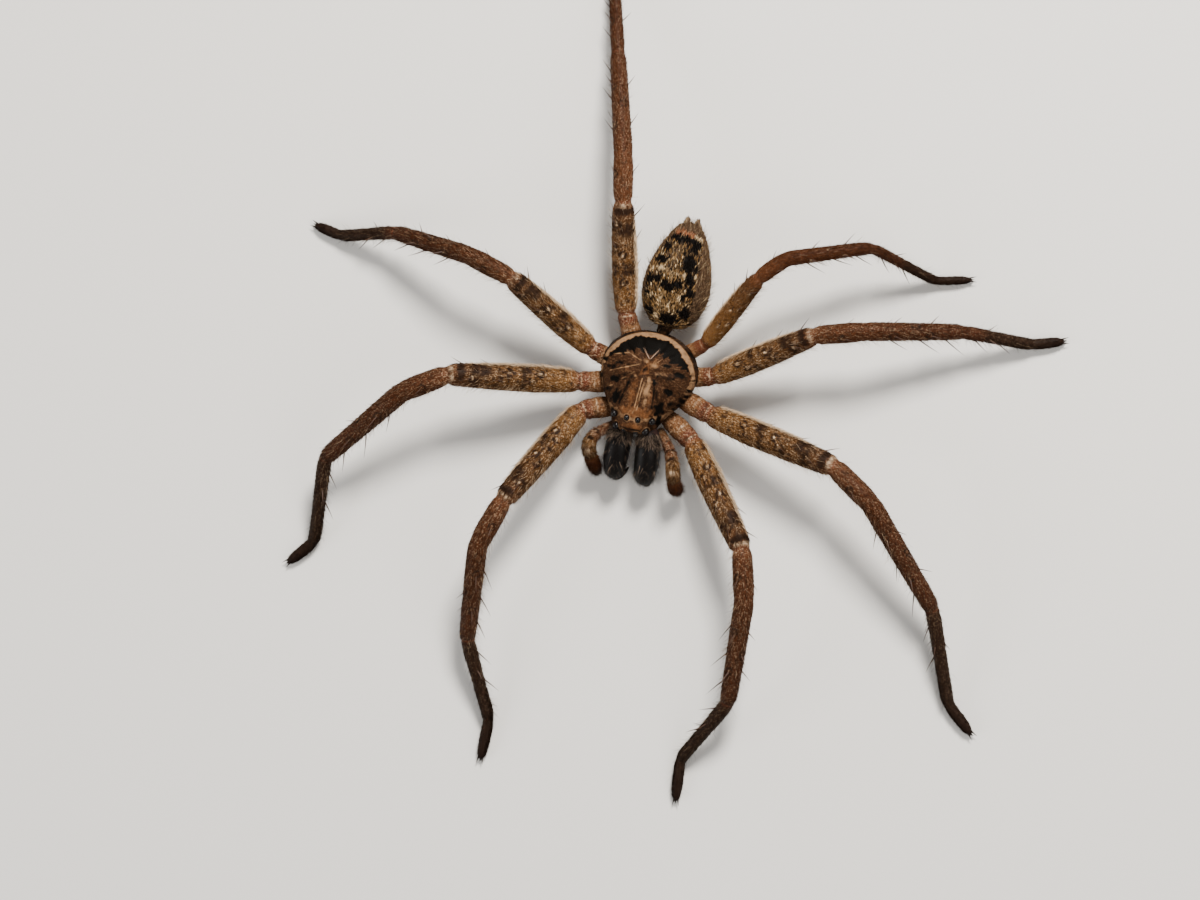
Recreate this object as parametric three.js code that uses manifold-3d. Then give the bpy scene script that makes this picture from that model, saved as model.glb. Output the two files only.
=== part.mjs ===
// A huntsman spider as a still, life-size model, in millimetres, +Z up, standing on the floor at z = 0.
// Left and right are the spider's own. It faces -Y, turned a little to its right, and each segment of a
// leg is a body of its own that meets the next one face to face.
import * as THREE from "three";
import { mergeVertices } from "three/addons/utils/BufferGeometryUtils.js";
import Module from "manifold-3d";

const wasm = await Module();
wasm.setup();

// The joint gap between two bodies, and the smaller one round an eye
const gap = 0.3;
const eyeGap = 0.2;

// The head and thorax: one shield with the breastplate under it. The head leans a little to the spider's
// right of the middle line, counted from the fovea.
const bodyYaw = -12.7;
const shieldLength = 10.9;
const shieldWidth = 10.5;
const shieldRim = 4.5;
const headLean = 0.07;
const fovea = 1.2;
const foveaPit = { y: 1.4, depth: 0.35, long: 0.7, wide: 0.18 };
const neckCrease = { x: 2.3, y: -3, slant: 0.28, depth: 0.22, half: 0.5 };
const shieldRound = { dome: 0.82, flank: 0.7, inward: 0.42 };

// The abdomen
const abdomenLength = 11.4;
const abdomenWidth = 7.3;
const abdomenHeight = 5.5;
const abdomenStart = 6.0;
const abdomenMiddle = 4.7;
const abdomenShift = 0.85;

// True segment lengths of each pair of legs, the half thickness of each segment, where the coxa is
// rooted under the shield, and how far the leg's upper side leans to the rear
const pairs = [
  {
    coxa: 4.4, femur: 12.8, patella: 5.5, tibia: 11.1, metatarsus: 9.2, tarsus: 4.5,
    thick: 1.0, root: [2.2, -2.8], lean: 50,
  },
  {
    coxa: 4.4, femur: 14.4, patella: 5.3, tibia: 12.6, metatarsus: 10.3, tarsus: 3.9,
    thick: 1.02, root: [3.0, -0.55], lean: 50,
  },
  {
    coxa: 3.9, femur: 12.1, patella: 5.5, tibia: 10.2, metatarsus: 7.9, tarsus: 3.4,
    thick: 0.93, root: [3.0, 1.2], lean: 40,
  },
  {
    coxa: 4.3, femur: 11.9, patella: 5.1, tibia: 11.5, metatarsus: 10.2, tarsus: 4.0,
    thick: 0.95, root: [2.0, 2.9], lean: 30,
  },
];
const regrown = {
  ...pairs[3],
  coxa: 4.0, femur: 10.0, patella: 3.6, tibia: 9.1, metatarsus: 8.9, tarsus: 3.8,
  thick: 0.74,
};
const halfThickness = {
  coxa: 1.2, femur: 1.42, patella: 1.12, tibia: 1.06, metatarsus: 0.78, tarsus: 0.62,
};
const segments = ["coxa", "femur", "patella", "tibia", "metatarsus", "tarsus"];

// The stance. For each leg: the compass heading of its six segments, the height of each joint after the
// root, and its size beside its pair. The left fourth leg is a regrown one, shorter and slimmer.
const rootHeight = 3.1;
const soleHeight = 0.48;
const stance = {
  left_1: {
    build: pairs[0], side: 1, size: 1.01,
    heading: [-43, -63, -87, -101, -132, -97],
    height: [4.0, 7.4, 7.8, 5.0, 0.85],
  },
  left_2: {
    build: pairs[1], side: 1, size: 1.03,
    heading: [-30, -22, -45, -61, -82, -53],
    height: [4.0, 7.4, 7.6, 4.0, 0.85],
  },
  left_3: {
    build: pairs[2], side: 1, size: 1.0,
    heading: [2, 21, 4, 0, -10, 6],
    height: [4.0, 7.4, 7.6, 4.4, 0.85],
  },
  left_4: {
    build: regrown, side: 1, size: 1.0,
    heading: [25, 48, 34, 8, -28, 2],
    height: [4.0, 8.4, 8.9, 6.3, 0.8],
  },
  right_1: {
    build: pairs[0], side: -1, size: 1.0,
    heading: [-173, -129, -120, -101, -78, -103],
    height: [4.0, 8.0, 8.0, 3.6, 0.85],
  },
  right_2: {
    build: pairs[1], side: -1, size: 0.97,
    heading: [179, 177, -159, -143, -103, -143],
    height: [4.0, 8.6, 9.0, 4.8, 0.85],
  },
  right_3: {
    build: pairs[2], side: -1, size: 0.94,
    heading: [152, 137, 152, 163, -179, 157],
    height: [4.0, 7.6, 7.8, 4.2, 0.85],
  },
  right_4: {
    build: pairs[3], side: -1, size: 1.0,
    heading: [104, 89, 90, 96, 95, 95],
    height: [4.0, 7.4, 7.2, 3.4, 0.85],
  },
};

// Spines of each segment: the angle of a row round the leg, from its upper side towards the front, where
// its spines stand along the segment, and how long they are. Each one strays a little from its row.
const spineRadius = 0.25;
const spineLift = { least: 34, most: 50 };
const spineStray = { along: 0.03, length: 0.3 };
const spineClearance = 0.35;
const spineSeat = 0.86;
const spineRows = {
  femur: [
    { angle: 65, along: [0.34, 0.58, 0.82], length: 1.7 },
    { angle: 30, along: [0.27, 0.53], length: 1.7 },
    { angle: -65, along: [0.38, 0.62, 0.85], length: 1.7 },
  ],
  patella: [
    { angle: 80, along: [0.55], length: 1.5 },
    { angle: -80, along: [0.55], length: 1.5 },
  ],
  tibia: [
    { angle: 75, along: [0.28, 0.66], length: 2.0 },
    { angle: 0, along: [0.5], length: 1.6 },
    { angle: -75, along: [0.28, 0.66], length: 2.0 },
    { angle: 150, along: [0.2, 0.5, 0.78], length: 2.5 },
    { angle: -150, along: [0.2, 0.5, 0.78], length: 2.5 },
  ],
  metatarsus: [
    { angle: 80, along: [0.35], length: 1.7 },
    { angle: -80, along: [0.35], length: 1.7 },
    { angle: 150, along: [0.14, 0.48], length: 2.1 },
    { angle: -150, along: [0.14, 0.48], length: 2.1 },
  ],
};

// How each segment swells along its length: [share of the length, share of its half thickness]
const swell = {
  coxa: [[0, 0.66], [0.3, 0.88], [0.6, 1.0], [0.72, 0.84], [0.84, 0.94], [1, 0.84]],
  femur: [[0, 0.74], [0.09, 0.88], [0.32, 1.0], [0.64, 0.96], [0.9, 0.86], [1, 0.76]],
  patella: [[0, 0.84], [0.25, 0.97], [0.75, 1.0], [1, 0.88]],
  tibia: [[0.1, 1.0], [0.5, 0.94], [0.9, 0.86], [1, 0.8]],
  metatarsus: [[0, 0.86], [0.12, 1.0], [0.55, 0.88], [0.92, 0.84], [1, 0.76]],
  tarsus: [[0, 0.84], [0.2, 0.94], [0.6, 0.98], [0.86, 0.84], [1, 0.45]],
};

const up = new THREE.Vector3(0, 0, 1);
const vector = (x, y, z) => new THREE.Vector3(x, y, z);
const radians = THREE.MathUtils.degToRad;
const between = (a, b, t) => a + (b - a) * t;
const smooth = THREE.MathUtils.smoothstep;

// Solids

function solidOf(geometry) {
  const bare = geometry.clone();
  bare.deleteAttribute("normal");
  bare.deleteAttribute("uv");
  const merged = mergeVertices(bare, 1e-4);
  return new wasm.Manifold(
    new wasm.Mesh({
      numProp: 3,
      vertProperties: merged.getAttribute("position").array,
      triVerts: new Uint32Array(merged.index.array),
    }),
  );
}

// The largest closed surface of a solid, as a geometry
function geometryOf(solid) {
  const whole = solid.decompose().reduce((a, b) => (b.volume() > a.volume() ? b : a));
  const mesh = whole.getMesh();
  const geometry = new THREE.BufferGeometry();
  geometry.setAttribute("position", new THREE.BufferAttribute(mesh.vertProperties, 3));
  geometry.setIndex(new THREE.BufferAttribute(mesh.triVerts, 1));
  return geometry;
}

// A geometry grown outwards by a clearance, to cut its neighbour with
function grown(geometry, clearance) {
  const bare = geometry.clone();
  bare.deleteAttribute("normal");
  bare.deleteAttribute("uv");
  const merged = mergeVertices(bare, 1e-4);
  merged.computeVertexNormals();
  const position = merged.getAttribute("position");
  const normal = merged.getAttribute("normal");
  for (let i = 0; i < position.count; i++) {
    position.setXYZ(
      i,
      position.getX(i) + normal.getX(i) * clearance,
      position.getY(i) + normal.getY(i) * clearance,
      position.getZ(i) + normal.getZ(i) * clearance,
    );
  }
  return merged;
}

const joined = (solids) => solids.reduce((a, b) => a.add(b));

// Sweeps: a cylinder or cone whose rings are moved to stations along a line. A station has its middle,
// the directions of its side, its axis and its upper side, and its half sizes; a mitre turns its plane.

function stationAt(at, axis, upper, sizes, mitre) {
  const side = axis.clone().cross(upper).normalize();
  const straightUp = side.clone().cross(axis).normalize();
  return { at, axis: axis.clone().normalize(), side, upper: straightUp, mitre, ...sizes };
}

function ringPoint(station, angle, share) {
  const across = Math.sin(angle) * station.wide * share;
  const height = Math.cos(angle) > 0 ? station.high : station.low ?? station.high;
  const tall = Math.cos(angle) * height * share;
  const point = station.at.clone().addScaledVector(station.side, across).addScaledVector(station.upper, tall);
  if (station.mitre) {
    const off = point.clone().sub(station.at).dot(station.mitre);
    point.addScaledVector(station.axis, -off / station.axis.dot(station.mitre));
  }
  return point;
}

function sweep(stations, sides, pointed = false) {
  const steps = stations.length - 1;
  const geometry = pointed
    ? new THREE.ConeGeometry(1, 1, sides, steps)
    : new THREE.CylinderGeometry(1, 1, 1, sides, steps);
  const position = geometry.getAttribute("position");
  for (let i = 0; i < position.count; i++) {
    const ring = Math.round((position.getY(i) + 0.5) * steps);
    const angle = Math.atan2(position.getX(i), position.getZ(i));
    const share = Math.hypot(position.getX(i), position.getZ(i)) > 1e-6 ? 1 : 0;
    position.setXYZ(i, ...ringPoint(stations[ring], angle, share).toArray());
  }
  return geometry;
}

// Stations along a bent line of points, each with its own sizes
function alongLine(points, sizes, upper = up) {
  return points.map((at, i) => {
    const before = points[Math.max(i - 1, 0)];
    const after = points[Math.min(i + 1, points.length - 1)];
    return stationAt(at, after.clone().sub(before), upper, sizes[i]);
  });
}

// Round sizes for alongLine, one for each half thickness
const round = (halves) => halves.map((half) => ({ wide: half, high: half }));

// A slender cone with its root sunk in what it grows from
function spine(root, direction, outward, length, radius) {
  const sunk = root.clone().addScaledVector(direction, -radius).addScaledVector(outward, -radius);
  const tip = root.clone().addScaledVector(direction, length);
  return sweep(alongLine([sunk, tip], round([radius, 0]), outward), spineSides, true);
}

// Legs

const fromBody = (x, y, z) => vector(x, y, z).applyAxisAngle(up, radians(bodyYaw));

// The seven joints of a leg, from its root under the shield to its tip
function legJoints(leg) {
  const build = leg.build;
  const joints = [fromBody(build.root[0] * leg.side, build.root[1], rootHeight)];
  const heights = [...leg.height, soleHeight];
  segments.forEach((name, i) => {
    const last = joints[i];
    const size = name === "coxa" ? 1 : leg.size;
    const rise = heights[i] - last.z;
    const reach = Math.sqrt((build[name] * size) ** 2 - rise ** 2);
    const heading = radians(leg.heading[i]);
    joints.push(vector(last.x + Math.cos(heading) * reach, last.y + Math.sin(heading) * reach, heights[i]));
  });
  return joints;
}

// The direction of a leg's upper side, which leans to the rear of the spider
function upperSide(axis, leg) {
  const lean = radians(leg.build.lean);
  const level = vector(axis.x, axis.y, 0).normalize();
  const rear = vector(-level.y, level.x, 0).multiplyScalar(leg.side);
  return up.clone().multiplyScalar(Math.cos(lean)).addScaledVector(rear, Math.sin(lean));
}

// Stations of one segment between two joints, with both ends mitred to its neighbours
function segmentStations(name, joints, index, half, leg) {
  const [from, to] = [joints[index], joints[index + 1]];
  const axis = to.clone().sub(from).normalize();
  const upper = upperSide(axis, leg);
  const neighbour = (a, b) => (joints[a] && joints[b] ? joints[b].clone().sub(joints[a]).normalize() : axis);
  const startMitre = axis.clone().add(neighbour(index - 1, index)).normalize();
  const endMitre = axis.clone().add(neighbour(index + 1, index + 2)).normalize();
  const startGap = name === "tibia" || name === "coxa" ? 0 : gap / 2 / axis.dot(startMitre);
  const endGap = name === "patella" || name === "tarsus" ? 0 : gap / 2 / axis.dot(endMitre);
  const length = from.distanceTo(to);
  return swell[name].map(([share, size]) => {
    const place = between(startGap, length - endGap, share);
    const mitre = share === 0 ? startMitre : share === 1 ? endMitre : undefined;
    const at = from.clone().addScaledVector(axis, place);
    return stationAt(at, axis, upper, { wide: half * size, high: half * size }, mitre);
  });
}

// A number from 0 to 1 that looks random and is the same for the same seed
function stray(seed) {
  const wave = Math.sin(seed * 78.233) * 43758.5453;
  return wave - Math.floor(wave);
}

// The spines of one segment, clear of the floor
function segmentSpines(rows, from, to, half, leg, seed) {
  const axis = to.clone().sub(from).normalize();
  const upper = upperSide(axis, leg);
  const front = axis.clone().cross(upper).multiplyScalar(leg.side).normalize();
  const spines = [];
  rows.forEach((row, i) => {
    const turn = radians(row.angle);
    const outward = upper.clone().multiplyScalar(Math.cos(turn)).addScaledVector(front, Math.sin(turn));
    outward.normalize();
    row.along.forEach((share, k) => {
      const draw = seed + 5 * i + k;
      const lift = radians(between(spineLift.least, spineLift.most, stray(draw)));
      const length = row.length * (1 + spineStray.length * (stray(draw + 0.3) - 0.5));
      const place = share + spineStray.along * (stray(draw + 0.6) - 0.5);
      const direction = axis.clone().multiplyScalar(Math.cos(lift));
      direction.addScaledVector(outward, Math.sin(lift));
      const root = from.clone().lerp(to, place).addScaledVector(outward, half * spineSeat);
      const tip = root.clone().addScaledVector(direction, length);
      if (tip.z > spineClearance && root.z > 2 * spineClearance) {
        spines.push(solidOf(spine(root, direction, outward, length, spineRadius)));
      }
    });
  });
  return spines;
}

const sidesOf = { coxa: 10, femur: 12, tibia: 12, metatarsus: 10, tarsus: 10 };
const spineSides = 5;

// A foot: what lies below soleFlat is pressed to the floor, and where its two claws stand
const soleFlat = 0.12;
const claw = {
  back: 0.25, apart: 0.34, height: 0.62, splay: 0.18, droop: 0.28, length: 0.85, radius: 0.24,
};

const colours = {
  shield: [0x6b4a30, 0.62],
  abdomen: [0x4a3b2c, 0.72],
  coxa: [0xa97c58, 0.6],
  femur: [0x8a6540, 0.62],
  tibia: [0x5a2e1c, 0.58],
  metatarsus: [0x3f2119, 0.6],
  tarsus: [0x2b1a17, 0.8],
  chelicera: [0x17110f, 0.3],
  fang: [0x0c0707, 0.2],
  palp: [0x9a7350, 0.62],
  palpTip: [0x4a2a1c, 0.8],
  eye: [0x0a0706, 0.08],
};

function meshOf(name, geometry, finish) {
  const [color, roughness] = colours[finish];
  const mesh = new THREE.Mesh(geometry, new THREE.MeshStandardMaterial({ color, roughness, metalness: 0 }));
  mesh.name = name;
  return mesh;
}

// A mesh whose own origin is the joint that it hangs on
function hungAt(joint, name, solid, finish) {
  const geometry = geometryOf(solid);
  geometry.translate(-joint.x, -joint.y, -joint.z);
  const mesh = meshOf(name, geometry, finish);
  mesh.position.copy(joint);
  return mesh;
}

// The last segment of a leg: its sole is flat on the floor, and two claws stand out of its tuft
function tarsusSolid(joints, half, leg) {
  const geometry = sweep(segmentStations("tarsus", joints, 5, half, leg), sidesOf.tarsus);
  const position = geometry.getAttribute("position");
  for (let i = 0; i < position.count; i++) {
    if (position.getZ(i) < soleFlat) position.setZ(i, 0);
  }
  const tip = joints[6];
  const axis = tip.clone().sub(joints[5]).setZ(0).normalize();
  const across = vector(-axis.y, axis.x, 0);
  const claws = [-1, 1].map((side) => {
    const root = tip.clone().addScaledVector(axis, -claw.back);
    root.addScaledVector(across, side * half * claw.apart).setZ(claw.height);
    const direction = axis.clone().addScaledVector(across, side * claw.splay);
    direction.addScaledVector(up, -claw.droop).normalize();
    return solidOf(spine(root, direction, up, claw.length, claw.radius));
  });
  return joined([solidOf(geometry), ...claws]);
}

function legMeshes(name, leg, number) {
  const joints = legJoints(leg);
  const half = (part) => halfThickness[part] * leg.build.thick;
  const loft = (part, index) => segmentStations(part, joints, index, half(part), leg);
  const spines = (part, index) => {
    const seed = 200 * number + 30 * index;
    return segmentSpines(spineRows[part], joints[index], joints[index + 1], half(part), leg, seed);
  };
  const coxa = solidOf(sweep(loft("coxa", 0), sidesOf.coxa));
  const femur = solidOf(sweep(loft("femur", 1), sidesOf.femur));
  const shin = solidOf(sweep([...loft("patella", 2), ...loft("tibia", 3)], sidesOf.tibia));
  const metatarsus = solidOf(sweep(loft("metatarsus", 4), sidesOf.metatarsus));
  const spinyFemur = joined([femur, ...spines("femur", 1)]);
  const spinyShin = joined([shin, ...spines("patella", 2), ...spines("tibia", 3)]);
  const spinyMetatarsus = joined([metatarsus, ...spines("metatarsus", 4)]);
  return [
    hungAt(joints[0], `coxa_${name}`, coxa, "coxa"),
    hungAt(joints[1], `femur_${name}`, spinyFemur, "femur"),
    hungAt(joints[2], `tibia_${name}`, spinyShin, "tibia"),
    hungAt(joints[4], `metatarsus_${name}`, spinyMetatarsus, "metatarsus"),
    hungAt(joints[5], `tarsus_${name}`, tarsusSolid(joints, half("tarsus"), leg), "tarsus"),
  ];
}

// What the shield is cut clear of at one leg: its coxa, grown by the joint gap, in the body's own frame
function coxaCutter(leg) {
  const joints = legJoints(leg);
  const half = halfThickness.coxa * leg.build.thick;
  const stations = segmentStations("coxa", joints, 0, half, leg);
  const [root, middle, widest] = stations;
  const beyond = { ...widest, at: stations[5].at };
  const geometry = sweep([root, middle, widest, beyond], sidesOf.coxa);
  geometry.rotateZ(-radians(bodyYaw));
  return solidOf(grown(geometry, gap * 1.1));
}

// The shield: half widths and heights at places along the body, from the front edge to the rear one
const shieldSections = [
  // y share, half width share, top, underside
  [-0.500, 0.30, 6.1, 4.7],
  [-0.488, 0.40, 6.75, 4.2],
  [-0.440, 0.46, 7.0, 3.2],
  [-0.360, 0.51, 7.15, 2.6],
  [-0.260, 0.64, 7.25, 2.2],
  [-0.140, 0.82, 7.35, 1.9],
  [0.000, 0.95, 7.45, 1.75],
  [0.110, 1.00, 7.5, 1.7],
  [0.220, 0.97, 7.35, 1.8],
  [0.320, 0.87, 6.95, 2.1],
  [0.410, 0.69, 6.3, 2.7],
  [0.470, 0.45, 5.55, 3.4],
  [0.500, 0.24, 4.95, 4.1],
];

// How far a place on the head stands to the left of the middle line
const leanAt = (y) => headLean * Math.min(y - fovea, 0);

// How deep the shield is pressed in round the fovea and along the neck
function shieldDents(across, y) {
  const pit = Math.exp(-((y - foveaPit.y) ** 2) / foveaPit.long - across ** 2 / foveaPit.wide);
  const crease = Math.abs(across) - neckCrease.x - neckCrease.slant * (y - neckCrease.y);
  const neck = Math.exp(-((crease / neckCrease.half) ** 2)) * smooth(-y, -1, 2);
  return foveaPit.depth * pit + neckCrease.depth * neck;
}

// One ring of the shield: a dome above the rim, and below it a flank that draws in to the breastplate
function shieldPoint(section, angle) {
  const [along, wideShare, top, bottom] = section;
  const rise = Math.cos(angle);
  const across = (Math.sin(angle) * wideShare * shieldWidth) / 2;
  const y = along * shieldLength;
  if (rise >= 0) {
    const height = between(shieldRim, top, Math.pow(rise, shieldRound.dome));
    return vector(across + leanAt(y), y, height - shieldDents(across, y));
  }
  const inward = 1 - shieldRound.inward * Math.sqrt(-rise);
  const height = between(shieldRim, bottom, Math.pow(-rise, shieldRound.flank));
  return vector(across * inward + leanAt(y), y, height);
}

function shieldGeometry() {
  const sides = 24;
  const steps = shieldSections.length - 1;
  const geometry = new THREE.CylinderGeometry(1, 1, 1, sides, steps);
  const position = geometry.getAttribute("position");
  for (let i = 0; i < position.count; i++) {
    const section = shieldSections[Math.round((position.getY(i) + 0.5) * steps)];
    const angle = Math.atan2(position.getX(i), position.getZ(i));
    const onRim = Math.hypot(position.getX(i), position.getZ(i)) > 1e-6;
    const y = section[0] * shieldLength;
    const point = onRim ? shieldPoint(section, angle) : vector(leanAt(y), y, (section[2] + section[3]) / 2);
    position.setXYZ(i, point.x, point.y, point.z);
  }
  return geometry;
}

// The mouth plates under the head: two maxillae with the lip between them
const mouth = {
  maxilla: [[1.5, -2.2, 2.5], [1.35, -3.4, 2.45], [1.05, -4.6, 2.7]],
  maxillaSizes: [{ wide: 0.7, high: 0.7 }, { wide: 0.85, high: 0.75 }, { wide: 0.5, high: 0.6 }],
  lip: [[0, -1.8, 2.3], [0, -2.9, 2.3], [0, -3.7, 2.6]],
  lipSizes: [{ wide: 0.7, high: 0.6 }, { wide: 0.62, high: 0.5 }, { wide: 0.42, high: 0.5 }],
};

// Points of a line on the left of the body, or mirrored to its right with side -1
const mirrored = (points, side) => points.map(([x, y, z]) => vector(side * x, y, z));

function mouthPlates() {
  const plate = (points, sizes, side) => solidOf(sweep(alongLine(mirrored(points, side), sizes), 8));
  return joined([
    plate(mouth.maxilla, mouth.maxillaSizes, 1),
    plate(mouth.maxilla, mouth.maxillaSizes, -1),
    plate(mouth.lip, mouth.lipSizes, 1),
  ]);
}

// The eight eyes: two rows of four across the front of the head
const eyes = [
  { name: "front_middle", at: [0.62, -5.18, 6.2], radius: 0.32 },
  { name: "front_side", at: [1.58, -5.0, 6.02], radius: 0.42 },
  { name: "rear_middle", at: [0.6, -3.95, 7.0], radius: 0.3 },
  { name: "rear_side", at: [2.05, -3.8, 6.66], radius: 0.38 },
];
const eyeMiddle = (at, side) => vector(at[0] * side + leanAt(at[1]), at[1], at[2]);

function eyeMeshes() {
  return [1, -1].flatMap((side) =>
    eyes.map(({ name, at, radius }) => {
      const ball = new THREE.SphereGeometry(radius, 8, 6);
      const mesh = meshOf(`eye_${name}_${side > 0 ? "left" : "right"}`, ball, "eye");
      mesh.position.copy(eyeMiddle(at, side));
      return mesh;
    }),
  );
}

// The jaws: a stout base in front of the head, and a fang folded inwards under its end
const jawLine = [
  [1.25, -4.4, 4.6], [1.45, -5.6, 4.65], [1.62, -6.9, 4.4], [1.68, -8.3, 3.8], [1.62, -9.8, 3.0], [1.56, -10.5, 2.6],
];
const jawHalves = [0.95, 1.2, 1.36, 1.36, 1.12, 0.7];
const fangLine = [
  [1.95, -10.15, 1.55], [1.7, -10.45, 1.05], [1.3, -10.3, 0.75], [0.85, -9.8, 0.65], [0.5, -9.1, 0.75],
];
const fangHalves = [0.42, 0.42, 0.34, 0.26, 0];

function jawParts(side) {
  return {
    base: solidOf(sweep(alongLine(mirrored(jawLine, side), round(jawHalves)), 12)),
    fang: solidOf(sweep(alongLine(mirrored(fangLine, side), round(fangHalves)), 8, true)),
  };
}

// The feelers beside the jaws: femur, patella and tibia in one, and a bristly tip turned down. The two
// are held differently.
const palpLine = {
  1: [[2.05, -4.5, 2.9], [3.0, -5.5, 3.5], [4.0, -6.5, 4.7], [4.5, -7.5, 5.2], [4.8, -8.6, 5.1], [4.95, -9.4, 4.5]],
  "-1": [[2.05, -4.5, 2.9], [3.0, -5.4, 3.5], [3.95, -6.1, 4.7], [4.55, -7.0, 5.2], [4.6, -7.9, 4.8], [4.4, -8.6, 4.2]],
};
const palpHalves = [0.5, 0.5, 0.6, 0.7, 0.78, 0.74];
const palpTipLine = {
  1: [[5.03, -9.72, 4.05], [5.13, -10.15, 3.3], [5.15, -10.4, 2.2], [5.13, -10.55, 1.2]],
  "-1": [[4.32, -8.84, 3.86], [4.0, -9.4, 3.2], [3.75, -10.0, 2.2], [3.65, -10.4, 1.2]],
};
const palpTipHalves = [0.66, 0.74, 0.66, 0.32];
const palpTipUpper = vector(0, 1, 0.3);

function palpParts(side) {
  return {
    stem: sweep(alongLine(mirrored(palpLine[side], side), round(palpHalves)), 10),
    tip: sweep(alongLine(mirrored(palpTipLine[side], side), round(palpTipHalves), palpTipUpper), 10),
  };
}

// The abdomen: [share of its length, share of its width and height], the waist at its front, and the
// spinnerets under its rear end
const abdomenOutline = [
  [0.0, 0.34], [0.05, 0.58], [0.13, 0.79], [0.25, 0.95], [0.37, 1.0], [0.5, 0.96],
  [0.64, 0.85], [0.78, 0.69], [0.9, 0.49], [0.97, 0.33], [1.0, 0.15],
];
const abdomenDroop = 0.6;
const waist = {
  points: [[0.3, abdomenStart - 0.65, 4.4], [abdomenShift, abdomenStart + 0.9, 4.5]],
  sizes: [{ wide: 0.75, high: 0.6 }, { wide: 1.1, high: 0.9 }],
};
const spinnerets = [
  { across: 0.58, back: 1.3, height: 3.0, length: 1.35, half: 0.48 },
  { across: 0.5, back: 0.85, height: 3.75, length: 1.35, half: 0.38 },
  { across: 0.2, back: 1.25, height: 3.3, length: 0.9, half: 0.27 },
];
const spinneretTaper = [[0, 1], [0.6, 0.95], [1, 0.62]];
const spinneretSlope = { outward: 0.06, down: 0.12 };

function spinneretSolid(one, side) {
  const rear = abdomenStart + abdomenLength;
  const root = vector(abdomenShift + side * one.across, rear - one.back, one.height);
  const heading = vector(side * spinneretSlope.outward, 1, -spinneretSlope.down);
  const line = spinneretTaper.map(([share]) => root.clone().addScaledVector(heading, share * one.length));
  return solidOf(sweep(alongLine(line, round(spinneretTaper.map(([, size]) => size * one.half))), 8));
}

function abdomenSolid() {
  const backward = vector(0, 1, 0);
  const stations = abdomenOutline.map(([share, size]) => {
    const height = abdomenMiddle - abdomenDroop * smooth(share, 0.5, 1);
    return stationAt(vector(abdomenShift, abdomenStart + share * abdomenLength, height), backward, up, {
      wide: (size * abdomenWidth) / 2,
      high: (size * abdomenHeight) / 2,
      low: (size * abdomenHeight) / 2.1,
    });
  });
  return joined([
    solidOf(sweep(stations, 20)),
    solidOf(sweep(alongLine(mirrored(waist.points, 1), waist.sizes), 10)),
    ...spinnerets.flatMap((one) => [-1, 1].map((side) => spinneretSolid(one, side))),
  ]);
}

// The whole spider

function bodyGroup() {
  const group = new THREE.Group();
  group.name = "body";
  group.rotation.z = radians(bodyYaw);
  const shield = joined([solidOf(shieldGeometry()), mouthPlates()]);
  const shieldGrown = joined([
    solidOf(grown(shieldGeometry(), gap * 1.1)),
    solidOf(grown(geometryOf(mouthPlates()), gap)),
  ]);
  const palps = [1, -1].map((side) => palpParts(side));
  let cut = shield;
  for (const leg of Object.values(stance)) cut = cut.subtract(coxaCutter(leg));
  for (const palp of palps) cut = cut.subtract(solidOf(grown(palp.stem, gap * 1.1)));
  for (const side of [1, -1]) {
    for (const { at, radius } of eyes) {
      const socket = new THREE.SphereGeometry(radius + eyeGap, 8, 6);
      cut = cut.subtract(solidOf(socket.translate(...eyeMiddle(at, side).toArray())));
    }
  }
  group.add(meshOf("cephalothorax", geometryOf(cut), "shield"));
  group.add(meshOf("abdomen", geometryOf(abdomenSolid().subtract(shieldGrown)), "abdomen"));
  for (const side of [1, -1]) {
    const word = side > 0 ? "left" : "right";
    const jaw = jawParts(side);
    const palp = palps[side > 0 ? 0 : 1];
    group.add(meshOf(`chelicera_${word}`, geometryOf(jaw.base.subtract(shieldGrown)), "chelicera"));
    group.add(meshOf(`fang_${word}`, geometryOf(jaw.fang), "fang"));
    group.add(meshOf(`pedipalp_${word}`, geometryOf(solidOf(palp.stem)), "palp"));
    group.add(meshOf(`pedipalp_tarsus_${word}`, geometryOf(solidOf(palp.tip)), "palpTip"));
  }
  group.add(...eyeMeshes());
  return group;
}

const spider = new THREE.Group();
spider.name = "huntsman_spider";
spider.add(bodyGroup());
Object.entries(stance).forEach(([name, leg], number) => {
  const group = new THREE.Group();
  group.name = `leg_${name}`;
  group.add(...legMeshes(name, leg, number));
  spider.add(group);
});

// The origin is on the floor, in the middle of the spider's outline
const reach = new THREE.Box3().setFromObject(spider);
const middle = reach.getCenter(new THREE.Vector3());
spider.position.set(-middle.x, -middle.y, 0);

export default spider;
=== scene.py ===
# Huntsman spider: skin, coat, eyes, jaws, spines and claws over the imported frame.
# Sizes in the dictionaries are millimetres; every mesh is made in metres, in the frame's own place.
import math

import bmesh
import bpy
import numpy as np
from mathutils import Matrix, Vector


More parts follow.
